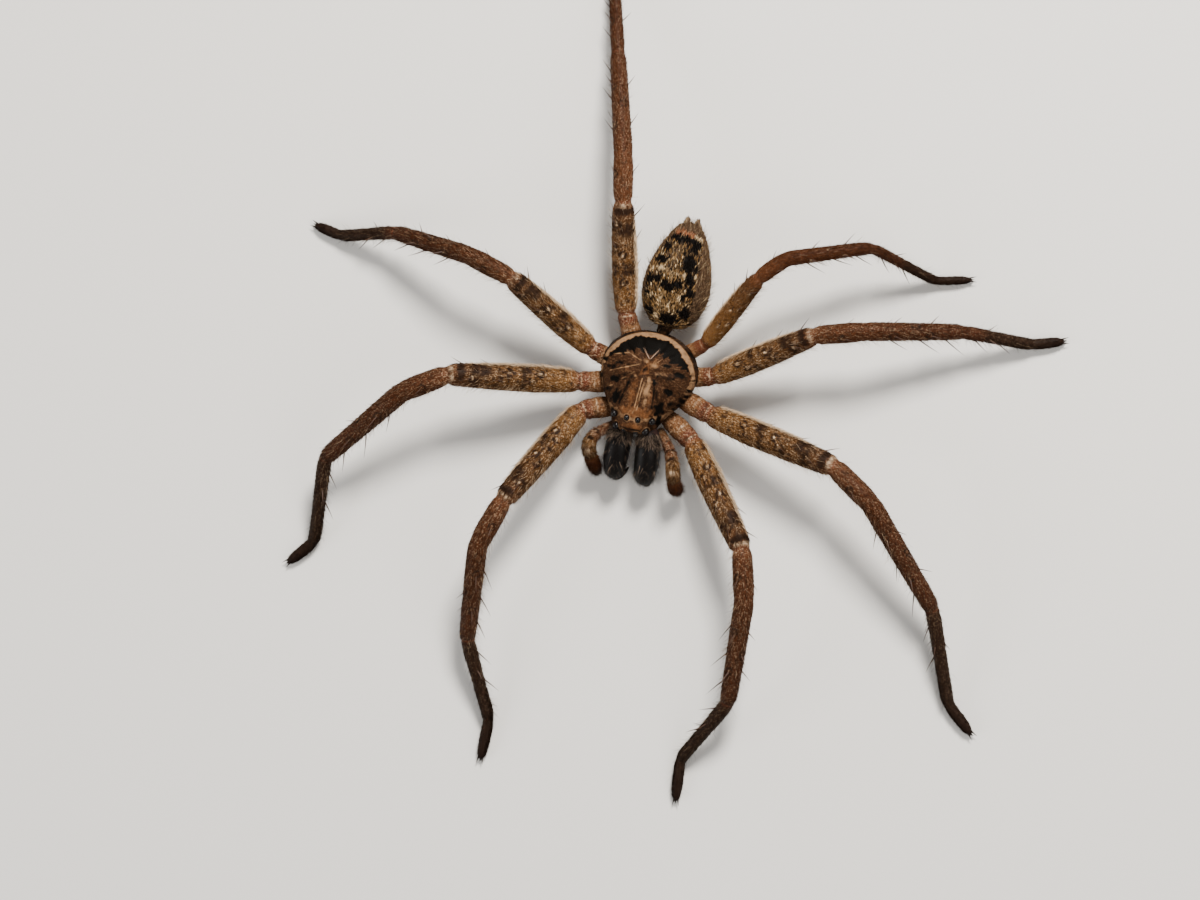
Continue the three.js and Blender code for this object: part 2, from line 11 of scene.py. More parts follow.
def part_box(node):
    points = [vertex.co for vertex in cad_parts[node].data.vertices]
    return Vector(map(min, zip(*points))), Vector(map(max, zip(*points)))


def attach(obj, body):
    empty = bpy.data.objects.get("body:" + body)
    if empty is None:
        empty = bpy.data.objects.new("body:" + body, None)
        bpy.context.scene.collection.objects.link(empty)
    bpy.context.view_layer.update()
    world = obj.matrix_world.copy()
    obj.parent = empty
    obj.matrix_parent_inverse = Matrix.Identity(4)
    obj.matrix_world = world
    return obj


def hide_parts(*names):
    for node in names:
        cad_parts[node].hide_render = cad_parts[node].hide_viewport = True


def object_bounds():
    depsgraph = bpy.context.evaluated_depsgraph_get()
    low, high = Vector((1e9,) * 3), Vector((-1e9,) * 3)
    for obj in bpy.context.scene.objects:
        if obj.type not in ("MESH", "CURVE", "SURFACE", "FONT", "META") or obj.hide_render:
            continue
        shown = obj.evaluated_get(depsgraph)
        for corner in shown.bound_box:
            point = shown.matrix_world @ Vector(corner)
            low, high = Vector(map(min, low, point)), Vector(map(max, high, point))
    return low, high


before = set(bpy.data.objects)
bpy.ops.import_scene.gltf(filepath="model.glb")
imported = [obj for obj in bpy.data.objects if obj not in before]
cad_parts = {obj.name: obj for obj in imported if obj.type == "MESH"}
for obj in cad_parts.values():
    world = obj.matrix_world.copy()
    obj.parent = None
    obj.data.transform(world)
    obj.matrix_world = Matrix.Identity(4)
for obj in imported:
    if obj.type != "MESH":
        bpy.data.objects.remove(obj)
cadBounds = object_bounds()
mm = 0.001
print("frame loaded:", len(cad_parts), "nodes")


# Small helpers

def unit(vectors):
    return vectors / np.maximum(np.linalg.norm(vectors, axis=-1, keepdims=True), 1e-12)


def bump(distance, width):
    return np.exp(-(distance / width) ** 2)


def ramp(value, low, high):
    share = np.clip((value - low) / (high - low), 0, 1)
    return share * share * (3 - 2 * share)


def stray(seed):
    # a number from 0 to 1 that looks random and is always the same for a seed
    wave = np.sin(seed * 78.233) * 43758.5453
    return wave - np.floor(wave)


def softened(values, rounds):
    values = np.array(values, float)
    for _ in range(rounds):
        values[1:-1] = (values[:-2] + 2 * values[1:-1] + values[2:]) / 4
    return values


def softCurve(points, count=160, rounds=24):
    # a smooth curve through a few (place, value) pairs, read with np.interp
    places, values = np.array(points, float).T
    even = np.linspace(places[0], places[-1], count)
    return even, softened(np.interp(even, places, values), rounds)


def rounded(share):
    # a quarter circle, from 0 to 1
    return np.sqrt(np.clip(1 - np.clip(1 - share, 0, 1) ** 2, 0, 1))


def addObject(name, data):
    added = bpy.data.objects.new(name, data)
    bpy.context.scene.collection.objects.link(added)
    return added


def meshFrom(name, bm):
    mesh = bpy.data.meshes.new(name)
    bm.to_mesh(mesh)
    bm.free()
    return mesh


def giveInputs(tree, node, inputs):
    # an input takes a value or another node's output
    for name, value in inputs.items():
        if isinstance(value, bpy.types.NodeSocket):
            tree.links.new(value, node.inputs[name])
        else:
            node.inputs[name].default_value = value


def addNode(tree, kind, inputs=None, **settings):
    node = tree.nodes.new(kind)
    for name, value in settings.items():
        setattr(node, name, value)
    giveInputs(tree, node, inputs or {})
    return node


def reckon(tree, operation, *values):
    return addNode(tree, "ShaderNodeMath", dict(enumerate(values)), operation=operation).outputs[0]


def mapped(tree, value, fromLow=0, fromHigh=1, toLow=0, toHigh=1):
    limits = {"Value": value, "From Min": fromLow, "From Max": fromHigh, "To Min": toLow, "To Max": toHigh}
    return addNode(tree, "ShaderNodeMapRange", limits).outputs[0]


def newPaint(name):
    paint = bpy.data.materials.new(name)
    paint.use_nodes = True
    return paint, paint.node_tree, paint.node_tree.nodes["Principled BSDF"]


# Where the body stands: the left rear middle eye is a ball in the frame, and its middle says so

body = {
    "turn": -12.7,                  # degrees about the upright axis
    "eye": (0.2395, -3.95, 7.0),    # that eye, in the body's own axes
    "coat": 0.07,                   # how far the skin lies inside the solids
}


def nodeBall(name):
    # middle and radius of a round node
    low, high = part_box(name)
    return (np.array(low) + np.array(high)) / 2 / mm, (high.z - low.z) / 2 / mm


turn = math.radians(body["turn"])
bodyAxes = np.array([
    [math.cos(turn), math.sin(turn), 0],
    [-math.sin(turn), math.cos(turn), 0],
    [0, 0, 1.0],
])
bodyMiddle = nodeBall("eye_rear_middle_left")[0] - np.array(body["eye"]) @ bodyAxes


def toWorld(points):
    return np.asarray(points, float) @ bodyAxes + bodyMiddle


def toBody(points):
    return (points - bodyMiddle) @ bodyAxes.T


eyes = {}       # name: middle in the body's axes, and radius
for eyePlace in ("front_middle", "front_side", "rear_middle", "rear_side"):
    for word in ("left", "right"):
        middle, radius = nodeBall(f"eye_{eyePlace}_{word}")
        eyes[f"{eyePlace}_{word}"] = (toBody(middle), radius)


# Camera, floor and light

camera = {
    "middle": (-5.73, -7.03, 0),    # what the middle of the picture shows, from the body's middle
    "distance": 450,
    "tilt": 9,                      # degrees from straight above, towards +X
    "lens": 127.35,
    "sensor": 36,
    "nearest": 10,
}
light = {
    "key": {"at": (110, 250, 300), "size": 110, "power": 4.2, "colour": (1.0, 0.96, 0.9)},
    "fill": {"at": (260, -160, 300), "size": 320, "power": 0.8, "colour": (1.0, 0.98, 0.95)},
    "rim": {"at": (-300, -120, 160), "size": 200, "power": 0.6, "colour": (1.0, 1.0, 1.0)},
    "sky": 0.34,
    "skyColour": (1, 0.985, 0.96),
    "floor": (0.72, 0.70, 0.67),
    "floorRoughness": 0.9,
    "floorHalf": 3000,
}


def aimedAt(place, target, upright):
    back = (Vector(place) - Vector(target)).normalized()
    right = Vector(upright).cross(back).normalized()
    turned = Matrix((right, back.cross(right), back)).transposed().to_4x4()
    turned.translation = Vector(place)
    return turned


def buildStage():
    tilt = math.radians(camera["tilt"])
    look = np.array(camera["middle"]) + np.array([bodyMiddle[0], bodyMiddle[1], 0])
    place = look + camera["distance"] * np.array([math.sin(tilt), 0, math.cos(tilt)])
    data = bpy.data.cameras.new("camera")
    data.lens = camera["lens"]
    data.sensor_width = camera["sensor"]
    data.clip_start = camera["nearest"] * mm
    shooter = addObject("camera", data)
    shooter.matrix_world = aimedAt(place * mm, look * mm, (0, 1, 0))
    bpy.context.scene.camera = shooter
    for name in ("key", "fill", "rim"):
        values = light[name]
        lamp = bpy.data.lights.new(name, "AREA")
        lamp.shape = "DISK"
        lamp.size = values["size"] * mm
        lamp.energy = values["power"]
        lamp.color = values["colour"]
        addObject(name, lamp).matrix_world = aimedAt(np.array(values["at"]) * mm, (0, 0, 0), (0, 0, 1))
    world = bpy.data.worlds.new("studio")
    world.use_nodes = True
    background = world.node_tree.nodes["Background"]
    giveInputs(world.node_tree, background, {"Color": (*light["skyColour"], 1), "Strength": light["sky"]})
    bpy.context.scene.world = world
    bm = bmesh.new()
    bmesh.ops.create_grid(bm, x_segments=1, y_segments=1, size=light["floorHalf"] * mm)
    floor = addObject("floor", meshFrom("floor", bm))
    paint, tree, shader = newPaint("floorPaint")
    giveInputs(tree, shader, {"Base Color": (*light["floor"], 1), "Roughness": light["floorRoughness"]})
    floor.data.materials.append(paint)


buildStage()
print("camera, light and floor are set")


# Materials. One group paints every skin and coat: dark, pale and warm marks over a base colour, with
# dark speckles and a little play from hair to hair.

marking = {
    "warmEdge": (0.2, 0.75),        # values of a mask between which its edge fades
    "paleEdge": (0.25, 0.75),
    "darkEdge": (0.25, 0.65),
    "fray": 1.1,                    # how much the coarse noise breaks up those edges
    "fine": 3.2,                    # how much finer the second noise is
    "cells": 0.75,
    "dots": (0.36, 0.2),            # distances from the middle of a cell
    # from and to of the noise, then from and to of the strength
    "flecks": (0.46, 0.36, 0, 0.55),
    "grains": (0.53, 0.62, 0, 0.8),
    # the same for the brightness from hair to hair and from place to place
    "strand": (0, 1, 0.55, 1.55),
    "drift": (0, 1, 0.7, 1.3),
    "relief": 0.5,
    "wear": 0.12,                   # how far the roughness strays
    "plainWear": 0.3,               # the same for a plain material, as a share
}


def markingsGroup():
    group = bpy.data.node_groups.new("markings", "ShaderNodeTree")
    inputs = {"Base": "Color", "Dark": "Color", "Pale": "Color", "Warm": "Color", "Marks": "Color",
              "Place": "Vector", "Speckle": "Float", "Strand": "Float", "Fineness": "Float", "Play": "Float"}
    for name, kind in inputs.items():
        group.interface.new_socket(name, in_out="INPUT", socket_type=f"NodeSocket{kind}")
    for name, kind in (("Color", "Color"), ("Height", "Float"), ("Wear", "Float")):
        group.interface.new_socket(name, in_out="OUTPUT", socket_type=f"NodeSocket{kind}")
    given = addNode(group, "NodeGroupInput").outputs

    def noise(scale, detail):
        inputs = {"Vector": given["Place"], "Scale": scale, "Detail": detail}
        return addNode(group, "ShaderNodeTexNoise", inputs).outputs["Fac"]

    def frayed(mask, edge):
        # a mask with its edge broken up by the coarse noise
        shifted = reckon(group, "ADD", coarse, -0.5)
        return mapped(group, reckon(group, "MULTIPLY_ADD", shifted, marking["fray"], mask), *edge)

    def painted(below, above, mask):
        return addNode(group, "ShaderNodeMix", {0: mask, 6: below, 7: above}, data_type="RGBA").outputs[2]

    coarse = noise(given["Fineness"], 3.0)
    fine = noise(reckon(group, "MULTIPLY", given["Fineness"], marking["fine"]), 2.0)
    darkMask, paleMask, warmMask = addNode(group, "ShaderNodeSeparateColor",
                                           {"Color": given["Marks"]}).outputs
    colour = painted(given["Base"], given["Warm"], frayed(warmMask, marking["warmEdge"]))
    colour = painted(colour, given["Pale"], frayed(paleMask, marking["paleEdge"]))
    flecks = mapped(group, fine, *marking["flecks"])
    colour = painted(colour, given["Pale"], reckon(group, "MULTIPLY", flecks, given["Speckle"]))
    colour = painted(colour, given["Dark"], frayed(darkMask, marking["darkEdge"]))
    cellScale = reckon(group, "MULTIPLY", given["Fineness"], marking["cells"])
    cells = addNode(group, "ShaderNodeTexVoronoi", {"Vector": given["Place"], "Scale": cellScale})
    dots = mapped(group, cells.outputs["Distance"], *marking["dots"])
    dots = reckon(group, "MAXIMUM", dots, mapped(group, fine, *marking["grains"]))
    colour = painted(colour, given["Dark"], reckon(group, "MULTIPLY", dots, given["Speckle"]))
    spread = mapped(group, given["Strand"], *marking["strand"])
    level = reckon(group, "MULTIPLY", spread, mapped(group, coarse, *marking["drift"]))
    played = addNode(group, "ShaderNodeMix", {0: given["Play"], 2: 1.0, 3: level}, data_type="FLOAT")
    shade = addNode(group, "ShaderNodeHueSaturation", {"Color": colour, "Value": played.outputs[0]})
    addNode(group, "NodeGroupOutput", {"Color": shade.outputs["Color"], "Height": fine, "Wear": coarse})
    return group


markings = markingsGroup()

# Colours along a leg, at places counted in segments: 0 is the root of the coxa, 6 the tip of the tarsus
legColours = [
    (0.0, (0.108, 0.048, 0.02)), (0.68, (0.138, 0.06, 0.024)), (0.8, (0.10, 0.034, 0.016)),
    (1.0, (0.108, 0.04, 0.017)), (1.1, (0.128, 0.058, 0.017)), (1.5, (0.094, 0.041, 0.012)),
    (1.85, (0.058, 0.024, 0.008)), (2.0, (0.084, 0.03, 0.012)), (2.4, (0.054, 0.018, 0.007)),
    (3.0, (0.044, 0.014, 0.005)), (3.9, (0.036, 0.012, 0.005)), (4.06, (0.018, 0.008, 0.004)),
    (5.0, (0.014, 0.007, 0.004)), (6.0, (0.012, 0.006, 0.004)),
]
abdomenBrown = (0.062, 0.035, 0.019)
abdomenOrange = (0.28, 0.095, 0.04)
abdomenColours = [(0.0, abdomenBrown), (1.0, abdomenBrown), (2.0, abdomenOrange), (6.0, abdomenOrange)]
finishes = {
    # a base colour or colours along the form, dark, pale, warm, roughness, fineness, play
    "leg": (legColours, (0.018, 0.0085, 0.0045), (0.45, 0.325, 0.21), (0.09, 0.027, 0.013), 0.55, 2.0, 0.75),
    "carapace": ((0.032, 0.0135, 0.006), (0.002, 0.0015, 0.001), (0.22, 0.124, 0.063), (0.105, 0.041, 0.015),
                 0.62, 1.7, 0.8),
    "abdomen": (abdomenColours, (0.003, 0.002, 0.0015), (0.46, 0.33, 0.19), (0.14, 0.074, 0.025),
                0.65, 1.9, 0.85),
    "jaw": ((0.0028, 0.002, 0.0018), (0.002, 0.0015, 0.0015), (0.28, 0.20, 0.145), (0.035, 0.017, 0.014),
            0.42, 2.0, 0.5),
}


def coloursAlong(tree, base):
    # the colour of each place along the form, from a list of places and colours
    length = base[-1][0]
    along = addNode(tree, "ShaderNodeAttribute", attribute_name="along")
    share = reckon(tree, "DIVIDE", along.outputs["Fac"], length)
    colours = addNode(tree, "ShaderNodeValToRGB", {"Fac": share})
    stops = colours.color_ramp.elements
    stops[0].color = (*base[0][1], 1)
    stops[1].color = (*base[-1][1], 1)
    for at, colour in base[1:-1]:
        stops.new(at / length).color = (*colour, 1)
    return colours.outputs["Color"]


def markedMaterial(name, finish, roughness=None, depth=0.02, shine=0.12):
    base, dark, pale, warm, plainRoughness, fineness, play = finishes[finish]
    paint, tree, shader = newPaint(name)
    place, marks, strand = (addNode(tree, "ShaderNodeAttribute", attribute_name=layer).outputs
                            for layer in ("place", "marks", "strand"))
    group = addNode(tree, "ShaderNodeGroup", {
        "Base": coloursAlong(tree, base) if isinstance(base, list) else (*base, 1),
        "Dark": (*dark, 1),
        "Pale": (*pale, 1),
        "Warm": (*warm, 1),
        "Marks": marks["Color"],
        "Speckle": marks["Alpha"],
        "Place": place["Vector"],
        "Strand": strand["Fac"],
        "Fineness": fineness,
        "Play": play,
    }, node_tree=markings)
    rough = plainRoughness if roughness is None else roughness
    wear = mapped(tree, group.outputs["Wear"], 0, 1, rough - marking["wear"], rough + marking["wear"])
    giveInputs(tree, shader, {
        "Base Color": group.outputs["Color"],
        "Roughness": wear,
        "Specular IOR Level": shine,
    })
    if depth:
        relief = addNode(tree, "ShaderNodeBump", {
            "Height": group.outputs["Height"], "Strength": marking["relief"], "Distance": depth * mm,
        })
        giveInputs(tree, shader, {"Normal": relief.outputs[0]})
    return paint


def plainMaterial(name, colour, roughness, shine, play=0.3, grain=1800.0):
    # one colour whose brightness and roughness play a little
    paint, tree, shader = newPaint(name)
    place = addNode(tree, "ShaderNodeTexCoord").outputs["Object"]
    noise = addNode(tree, "ShaderNodeTexNoise", {"Vector": place, "Scale": grain, "Detail": 2.0})
    noise = noise.outputs["Fac"]
    worn = marking["plainWear"]
    level = mapped(tree, noise, 0, 1, 1 - play, 1 + play)
    shade = addNode(tree, "ShaderNodeHueSaturation", {"Color": (*colour, 1), "Value": level})
    giveInputs(tree, shader, {
        "Base Color": shade.outputs["Color"],
        "Roughness": mapped(tree, noise, 0, 1, roughness * (1 - worn), roughness * (1 + worn)),
        "Specular IOR Level": shine,
    })
    return paint


paints = {
    "legSkin": markedMaterial("legSkin", "leg", shine=0.06),
    "legHair": markedMaterial("legHair", "leg", roughness=0.6, depth=0, shine=0.03),
    "carapaceSkin": markedMaterial("carapaceSkin", "carapace", shine=0.04),
    "carapaceHair": markedMaterial("carapaceHair", "carapace", roughness=0.6, depth=0, shine=0.03),
    "abdomenSkin": markedMaterial("abdomenSkin", "abdomen"),
    "abdomenHair": markedMaterial("abdomenHair", "abdomen", roughness=0.6, depth=0, shine=0.05),
    "jawSkin": markedMaterial("jawSkin", "jaw", depth=0.05, shine=0.13),
    "jawHair": markedMaterial("jawHair", "jaw", roughness=0.55, depth=0, shine=0.05),
    "eyeLens": plainMaterial("eyeLens", (0.003, 0.002, 0.002), 0.1, shine=0.22, play=0.1),
    "clawHorn": plainMaterial("clawHorn", (0.01, 0.005, 0.0035), 0.42, shine=0.14),
    "bristleHorn": plainMaterial("bristleHorn", (0.36, 0.24, 0.17), 0.5, shine=0.1, play=0.1),
    "spineHorn": plainMaterial("spineHorn", (0.045, 0.02, 0.011), 0.4, shine=0.25),
}
print("materials are made:", len(paints))


# Forms. A form is a surface given by u along it and v round it, both from 0 to 1, with v = 0 on top.

def surfaceFrame(form, u, v, step=0.003):
    # the point, the directions along and round the form, and the way out of it
    point = form["at"](u, v)
    along = unit(form["at"](np.minimum(u + step, 1), v) - form["at"](np.maximum(u - step, 0), v))
    around = unit(form["at"](u, v + step) - form["at"](u, v - step))
    return point, along, around, unit(np.cross(around, along))


def tube(share, centre, side, top, half):
    # a round tube about a middle line; share says where along the tube each place of the line lies
    columns = (*centre.T, *side.T, *top.T, half)

    def at(u, v):
        angle = 2 * np.pi * v
        values = [np.interp(u, share, column) for column in columns]
        middle, out, up = (np.stack(values[k:k + 3], axis=-1) for k in (0, 3, 6))
        radius = values[9][..., None]
        return middle + radius * (np.sin(angle)[..., None] * out + np.cos(angle)[..., None] * up)

    return at


def layersAt(form, u, v, point):
    marks, along = form["marks"](u, v, point)
    return {"place": form["place"](point), "marks": marks, "along": along}


def addLayers(mesh, layers):
    kinds = {"place": ("FLOAT_VECTOR", "vector"), "marks": ("FLOAT_COLOR", "color")}
    for name, values in layers.items():
        kind, field = kinds.get(name, ("FLOAT", "value"))
        layer = mesh.attributes.new(name, kind, "POINT")
        layer.data.foreach_set(field, np.ascontiguousarray(values, np.float32).ravel())


plainStrand = 0.5       # the skin's place between the darkest and the palest hair
formSteps = {           # steps along and round each kind of form
    "feeler": (60, 18), "shield": (200, 220), "abdomen": (130, 110), "waist": (12, 24),
    "spinneret": (14, 14), "mouth": (24, 18), "jaw": (60, 32), "fang": (40, 16),
}
mapCells = {
    # left, low, width and height on the texture map, and the way from one form's cell to the next one's
    "whole": (0.01, 0.01, 0.98, 0.98, 0, 0),
    "leg": (0.01, 0.01, 0.98, 0.045, 0, 0.05),
    "feeler": (0.01, 0.47, 0.4, 0.025, 0, 0.03),
    "waist": (0.01, 0.56, 0.1, 0.05, 0, 0),
    "spinneret": (0.12, 0.56, 0.05, 0.05, 0.06, 0),
    "maxilla": (0.6, 0.56, 0.08, 0.05, -0.2, 0),
    "lip": (0.72, 0.56, 0.08, 0.05, 0, 0),
    "shield": (0.01, 0.62, 0.46, 0.37, 0, 0),
    "abdomen": (0.5, 0.62, 0.49, 0.37, 0, 0),
}


def mapCell(kind, number=0):
    left, low, wide, tall, toRight, up = mapCells[kind]
    return left + number * toRight, low + number * up, wide, tall


def wrapForm(form, alongSteps, roundSteps, endShare=0.06):
    # a grid rolled into a tube and closed at both ends, finer near the ends
    bm = bmesh.new()
    bmesh.ops.create_grid(bm, x_segments=alongSteps, y_segments=roundSteps, size=0.5)
    flat = np.array([vert.co for vert in bm.verts])
    plainU, v = flat[:, 0] + 0.5, flat[:, 1] + 0.5
    u = (1 - endShare) * plainU + endShare * (0.5 - 0.5 * np.cos(np.pi * plainU))
    points = form["at"](u, v)
    for end in (plainU < 1e-4, plainU > 1 - 1e-4):
        points[end] = points[end].mean(axis=0)
    layers = layersAt(form, u, v, points)
    vector = bm.verts.layers.float_vector.new("place")
    colour = bm.verts.layers.float_color.new("marks")
    single = bm.verts.layers.float.new("along")
    strand = bm.verts.layers.float.new("strand")
    columns = (points * mm, layers["place"], layers["marks"], layers["along"])
    for vert, point, place, marks, along in zip(bm.verts, *columns):
        vert.co = point
        vert[vector] = place
        vert[colour] = marks
        vert[single] = along
        vert[strand] = plainStrand
    uvs = bm.loops.layers.uv.new("OFBake")
    left, low, wide, tall = form["cell"]
    bm.verts.index_update()
    for face in bm.faces:
        face.smooth = True
        for loop in face.loops:
            i = loop.vert.index
            loop[uvs].uv = (left + wide * plainU[i], low + tall * v[i])
    bmesh.ops.remove_doubles(bm, verts=bm.verts, dist=1e-7)
    bmesh.ops.recalc_face_normals(bm, faces=bm.faces)
    return bm


def placeMesh(name, mesh, replaced=()):
    piece = addObject(name, mesh)
    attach(piece, "root")
    if replaced:
        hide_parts(*replaced)
    return piece


def joinForms(name, parts, replaced=()):
    # parts: (form, steps along, steps round, material); all of them become one piece
    whole = bmesh.new()
    kinds = {"place": "float_vector", "marks": "float_color", "along": "float", "strand": "float"}
    for layer, kind in kinds.items():
        getattr(whole.verts.layers, kind).new(layer)
    whole.loops.layers.uv.new("OFBake")
    materials = []
    for form, alongSteps, roundSteps, paint in parts:
        bm = wrapForm(form, alongSteps, roundSteps)
        if paint not in materials:
            materials.append(paint)
        for face in bm.faces:
            face.material_index = materials.index(paint)
        mesh = meshFrom("part", bm)
        whole.from_mesh(mesh)
        bpy.data.meshes.remove(mesh)
    mesh = meshFrom(name, whole)
    for paint in materials:
        mesh.materials.append(paints[paint])
    return placeMesh(name, mesh, replaced)


# Legs: the same segments, headings and heights as the solids

pairSizes = [
    {"coxa": 4.4, "femur": 12.8, "patella": 5.5, "tibia": 11.1, "metatarsus": 9.2, "tarsus": 4.5,
     "thick": 1.0, "root": (2.2, -2.8), "lean": 50},
    {"coxa": 4.4, "femur": 14.4, "patella": 5.3, "tibia": 12.6, "metatarsus": 10.3, "tarsus": 3.9,
     "thick": 1.02, "root": (3.0, -0.55), "lean": 50},
    {"coxa": 3.9, "femur": 12.1, "patella": 5.5, "tibia": 10.2, "metatarsus": 7.9, "tarsus": 3.4,
     "thick": 0.93, "root": (3.0, 1.2), "lean": 40},
    {"coxa": 4.3, "femur": 11.9, "patella": 5.1, "tibia": 11.5, "metatarsus": 10.2, "tarsus": 4.0,
     "thick": 0.95, "root": (2.0, 2.9), "lean": 30},
]
regrown = {**pairSizes[3], "coxa": 4.0, "femur": 10.0, "patella": 3.6, "tibia": 9.1, "metatarsus": 8.9,
           "tarsus": 3.8, "thick": 0.74}
segments = ["coxa", "femur", "patella", "tibia", "metatarsus", "tarsus"]
legShape = {
    "half": {"coxa": 1.2, "femur": 1.42, "patella": 1.12, "tibia": 1.06, "metatarsus": 0.78, "tarsus": 0.62},
    "swell": {
        "coxa": [(0, 0.66), (0.3, 0.88), (0.6, 1.0), (0.72, 0.84), (0.84, 0.94), (1, 0.84)],
        "femur": [(0, 0.74), (0.09, 0.88), (0.32, 1.0), (0.64, 0.96), (0.9, 0.86), (1, 0.76)],
        "patella": [(0, 0.84), (0.25, 0.97), (0.75, 1.0), (1, 0.88)],
        "tibia": [(0.1, 1.0), (0.5, 0.94), (0.9, 0.86), (1, 0.8)],
        "metatarsus": [(0, 0.92), (0.12, 1.0), (0.55, 0.88), (0.92, 0.84), (1, 0.8)],
        "tarsus": [(0, 0.84), (0.2, 0.94), (0.6, 0.94), (0.86, 0.78), (1, 0.45)],
    },
    "rootHeight": 3.1,
    "soleHeight": 0.48,
    "step": 0.25,                   # between rings
    "around": 24,
    "cornerRounds": 14,             # how far the middle line is rounded at a joint
    "furrow": (0.13, 0.12, 0.02, 0.06, 0.05),    # how deep each joint is waisted, as a share
    "furrowWidth": 0.3,
    "besideFurrow": (0.15, 0.75, 0.3),           # the swelling beside it: share, how far off, width
    "tipRound": 0.7,                # how far back from its end a leg narrows
    "coat": 0.05,
    "sole": 0.04,                   # the skin's lowest height, under which only the sole's brush lies
}
stance = {name: dict(zip(("build", "side", "size", "heading", "height"), row)) for name, row in {
    # sizes, side, size beside those, headings of the six segments, heights of their outer ends
    "left_1": (pairSizes[0], 1, 1.01, (-43, -63, -87, -101, -132, -97), (4.0, 7.4, 7.8, 5.0, 0.85)),
    "left_2": (pairSizes[1], 1, 1.03, (-30, -22, -45, -61, -82, -53), (4.0, 7.4, 7.6, 4.0, 0.85)),
    "left_3": (pairSizes[2], 1, 1.0, (2, 21, 4, 0, -10, 6), (4.0, 7.4, 7.6, 4.4, 0.85)),
    "left_4": (regrown, 1, 1.0, (25, 48, 34, 8, -28, 2), (4.0, 8.4, 8.9, 6.3, 0.8)),
    "right_1": (pairSizes[0], -1, 1.0, (-173, -129, -120, -101, -78, -103), (4.0, 8.0, 8.0, 3.6, 0.85)),
    "right_2": (pairSizes[1], -1, 0.97, (179, 177, -159, -143, -103, -143), (4.0, 8.6, 9.0, 4.8, 0.85)),
    "right_3": (pairSizes[2], -1, 0.94, (152, 137, 152, 163, -179, 157), (4.0, 7.6, 7.8, 4.2, 0.85)),
    "right_4": (pairSizes[3], -1, 1.0, (104, 89, 90, 96, 95, 95), (4.0, 7.4, 7.2, 3.4, 0.85)),
}.items()}


def legJoints(leg):
    build = leg["build"]
    joints = [toWorld([build["root"][0] * leg["side"], build["root"][1], legShape["rootHeight"]])]
    heights = (*leg["height"], legShape["soleHeight"])
    for i, part in enumerate(segments):
        length = build[part] * (1 if part == "coxa" else leg["size"])
        rise = heights[i] - joints[-1][2]
        reach = math.sqrt(length ** 2 - rise ** 2)
        heading = math.radians(leg["heading"][i])
        joints.append(joints[-1] + np.array([math.cos(heading) * reach, math.sin(heading) * reach, rise]))
    return np.array(joints)


def upperSide(axis, leg):
    # a leg's upper side leans to the rear of the spider
    lean = math.radians(leg["build"]["lean"])
    level = unit(axis * np.array([1, 1, 0]))
    rear = leg["side"] * np.stack([-level[..., 1], level[..., 0], 0 * level[..., 0]], axis=-1)
    return math.cos(lean) * np.array([0, 0, 1.0]) + math.sin(lean) * rear


def legForm(name):
    leg = stance[name]
    joints = legJoints(leg)
    lengths = np.linalg.norm(np.diff(joints, axis=0), axis=1)
    ends = np.concatenate([[0], np.cumsum(lengths)])
    counts = [max(8, round(length / legShape["step"])) for length in lengths]
    s = np.concatenate([i + np.arange(count) / count for i, count in enumerate(counts)] + [[6.0]])
    run = np.interp(s, range(7), ends)
    centre = np.stack([np.interp(s, range(7), joints[:, k]) for k in range(3)], axis=1)
    centre = np.stack([softened(centre[:, k], legShape["cornerRounds"]) for k in range(3)], axis=1)
    axis = unit(np.gradient(centre, run, axis=0))
    side = unit(np.cross(axis, upperSide(axis, leg)))
    part = np.minimum(s.astype(int), 5)
    half = np.zeros(len(s))
    for i, segment in enumerate(segments):
        here = part == i
        half[here] = legShape["half"][segment] * np.interp(s[here] - i, *zip(*legShape["swell"][segment]))
    half = softened(half * leg["build"]["thick"], 4) - legShape["coat"]
    share, off, width = legShape["besideFurrow"]
    for j, depth in enumerate(legShape["furrow"], start=1):
        away = run - ends[j]
        furrow = bump(away, legShape["furrowWidth"])
        half *= 1 - depth * furrow + share * depth * bump(np.abs(away) - off, width)
    half *= rounded((run[-1] - run) / legShape["tipRound"])
    even = np.linspace(0, 1, len(s))
    plainTube = tube(even, centre, side, np.cross(side, axis), half)

    def at(u, v):
        point = plainTube(u, v)
        point[..., 2] = np.maximum(point[..., 2], legShape["sole"])
        return point

    number = list(stance).index(name)
    form = {"at": at, "segment": lambda u: np.interp(u, even, s), "joints": joints, "leg": leg, "name": name,
            "number": number, "steps": len(s) - 1, "place": lambda point: point,
            "cell": mapCell("leg", number)}
    form["spines"] = legSpines(form)
    form["marks"] = lambda u, v, point: legMarks(form, u, v, point)
    return form


# Spines stand in rows, where the solids have them, but slender, with a pale socket each

spine = {
    "thick": 0.085, "curve": 0.05, "lift": (34, 50), "strayAlong": 0.03, "strayLength": 0.3,
    "clearance": 0.35,              # least height of a tip over the floor
    "rooted": 0.86,                 # share of the leg's half width that a spine's row lies at
    "sunk": 0.2,                    # how deep under it a spine begins
    # rows on each segment: degrees round from the top, places, length
    "rows": {
        "femur": [(65, (0.34, 0.58, 0.82), 1.7), (30, (0.27, 0.53), 1.7), (-65, (0.38, 0.62, 0.85), 1.7)],
        "patella": [(80, (0.55,), 1.5), (-80, (0.55,), 1.5)],
        "tibia": [(75, (0.28, 0.66), 2.0), (0, (0.5,), 1.6), (-75, (0.28, 0.66), 2.0),
                  (150, (0.2, 0.5, 0.78), 2.5), (-150, (0.2, 0.5, 0.78), 2.5)],
        "metatarsus": [(80, (0.35,), 1.7), (-80, (0.35,), 1.7), (150, (0.14, 0.48), 2.1),
                       (-150, (0.14, 0.48), 2.1)],
    },
}


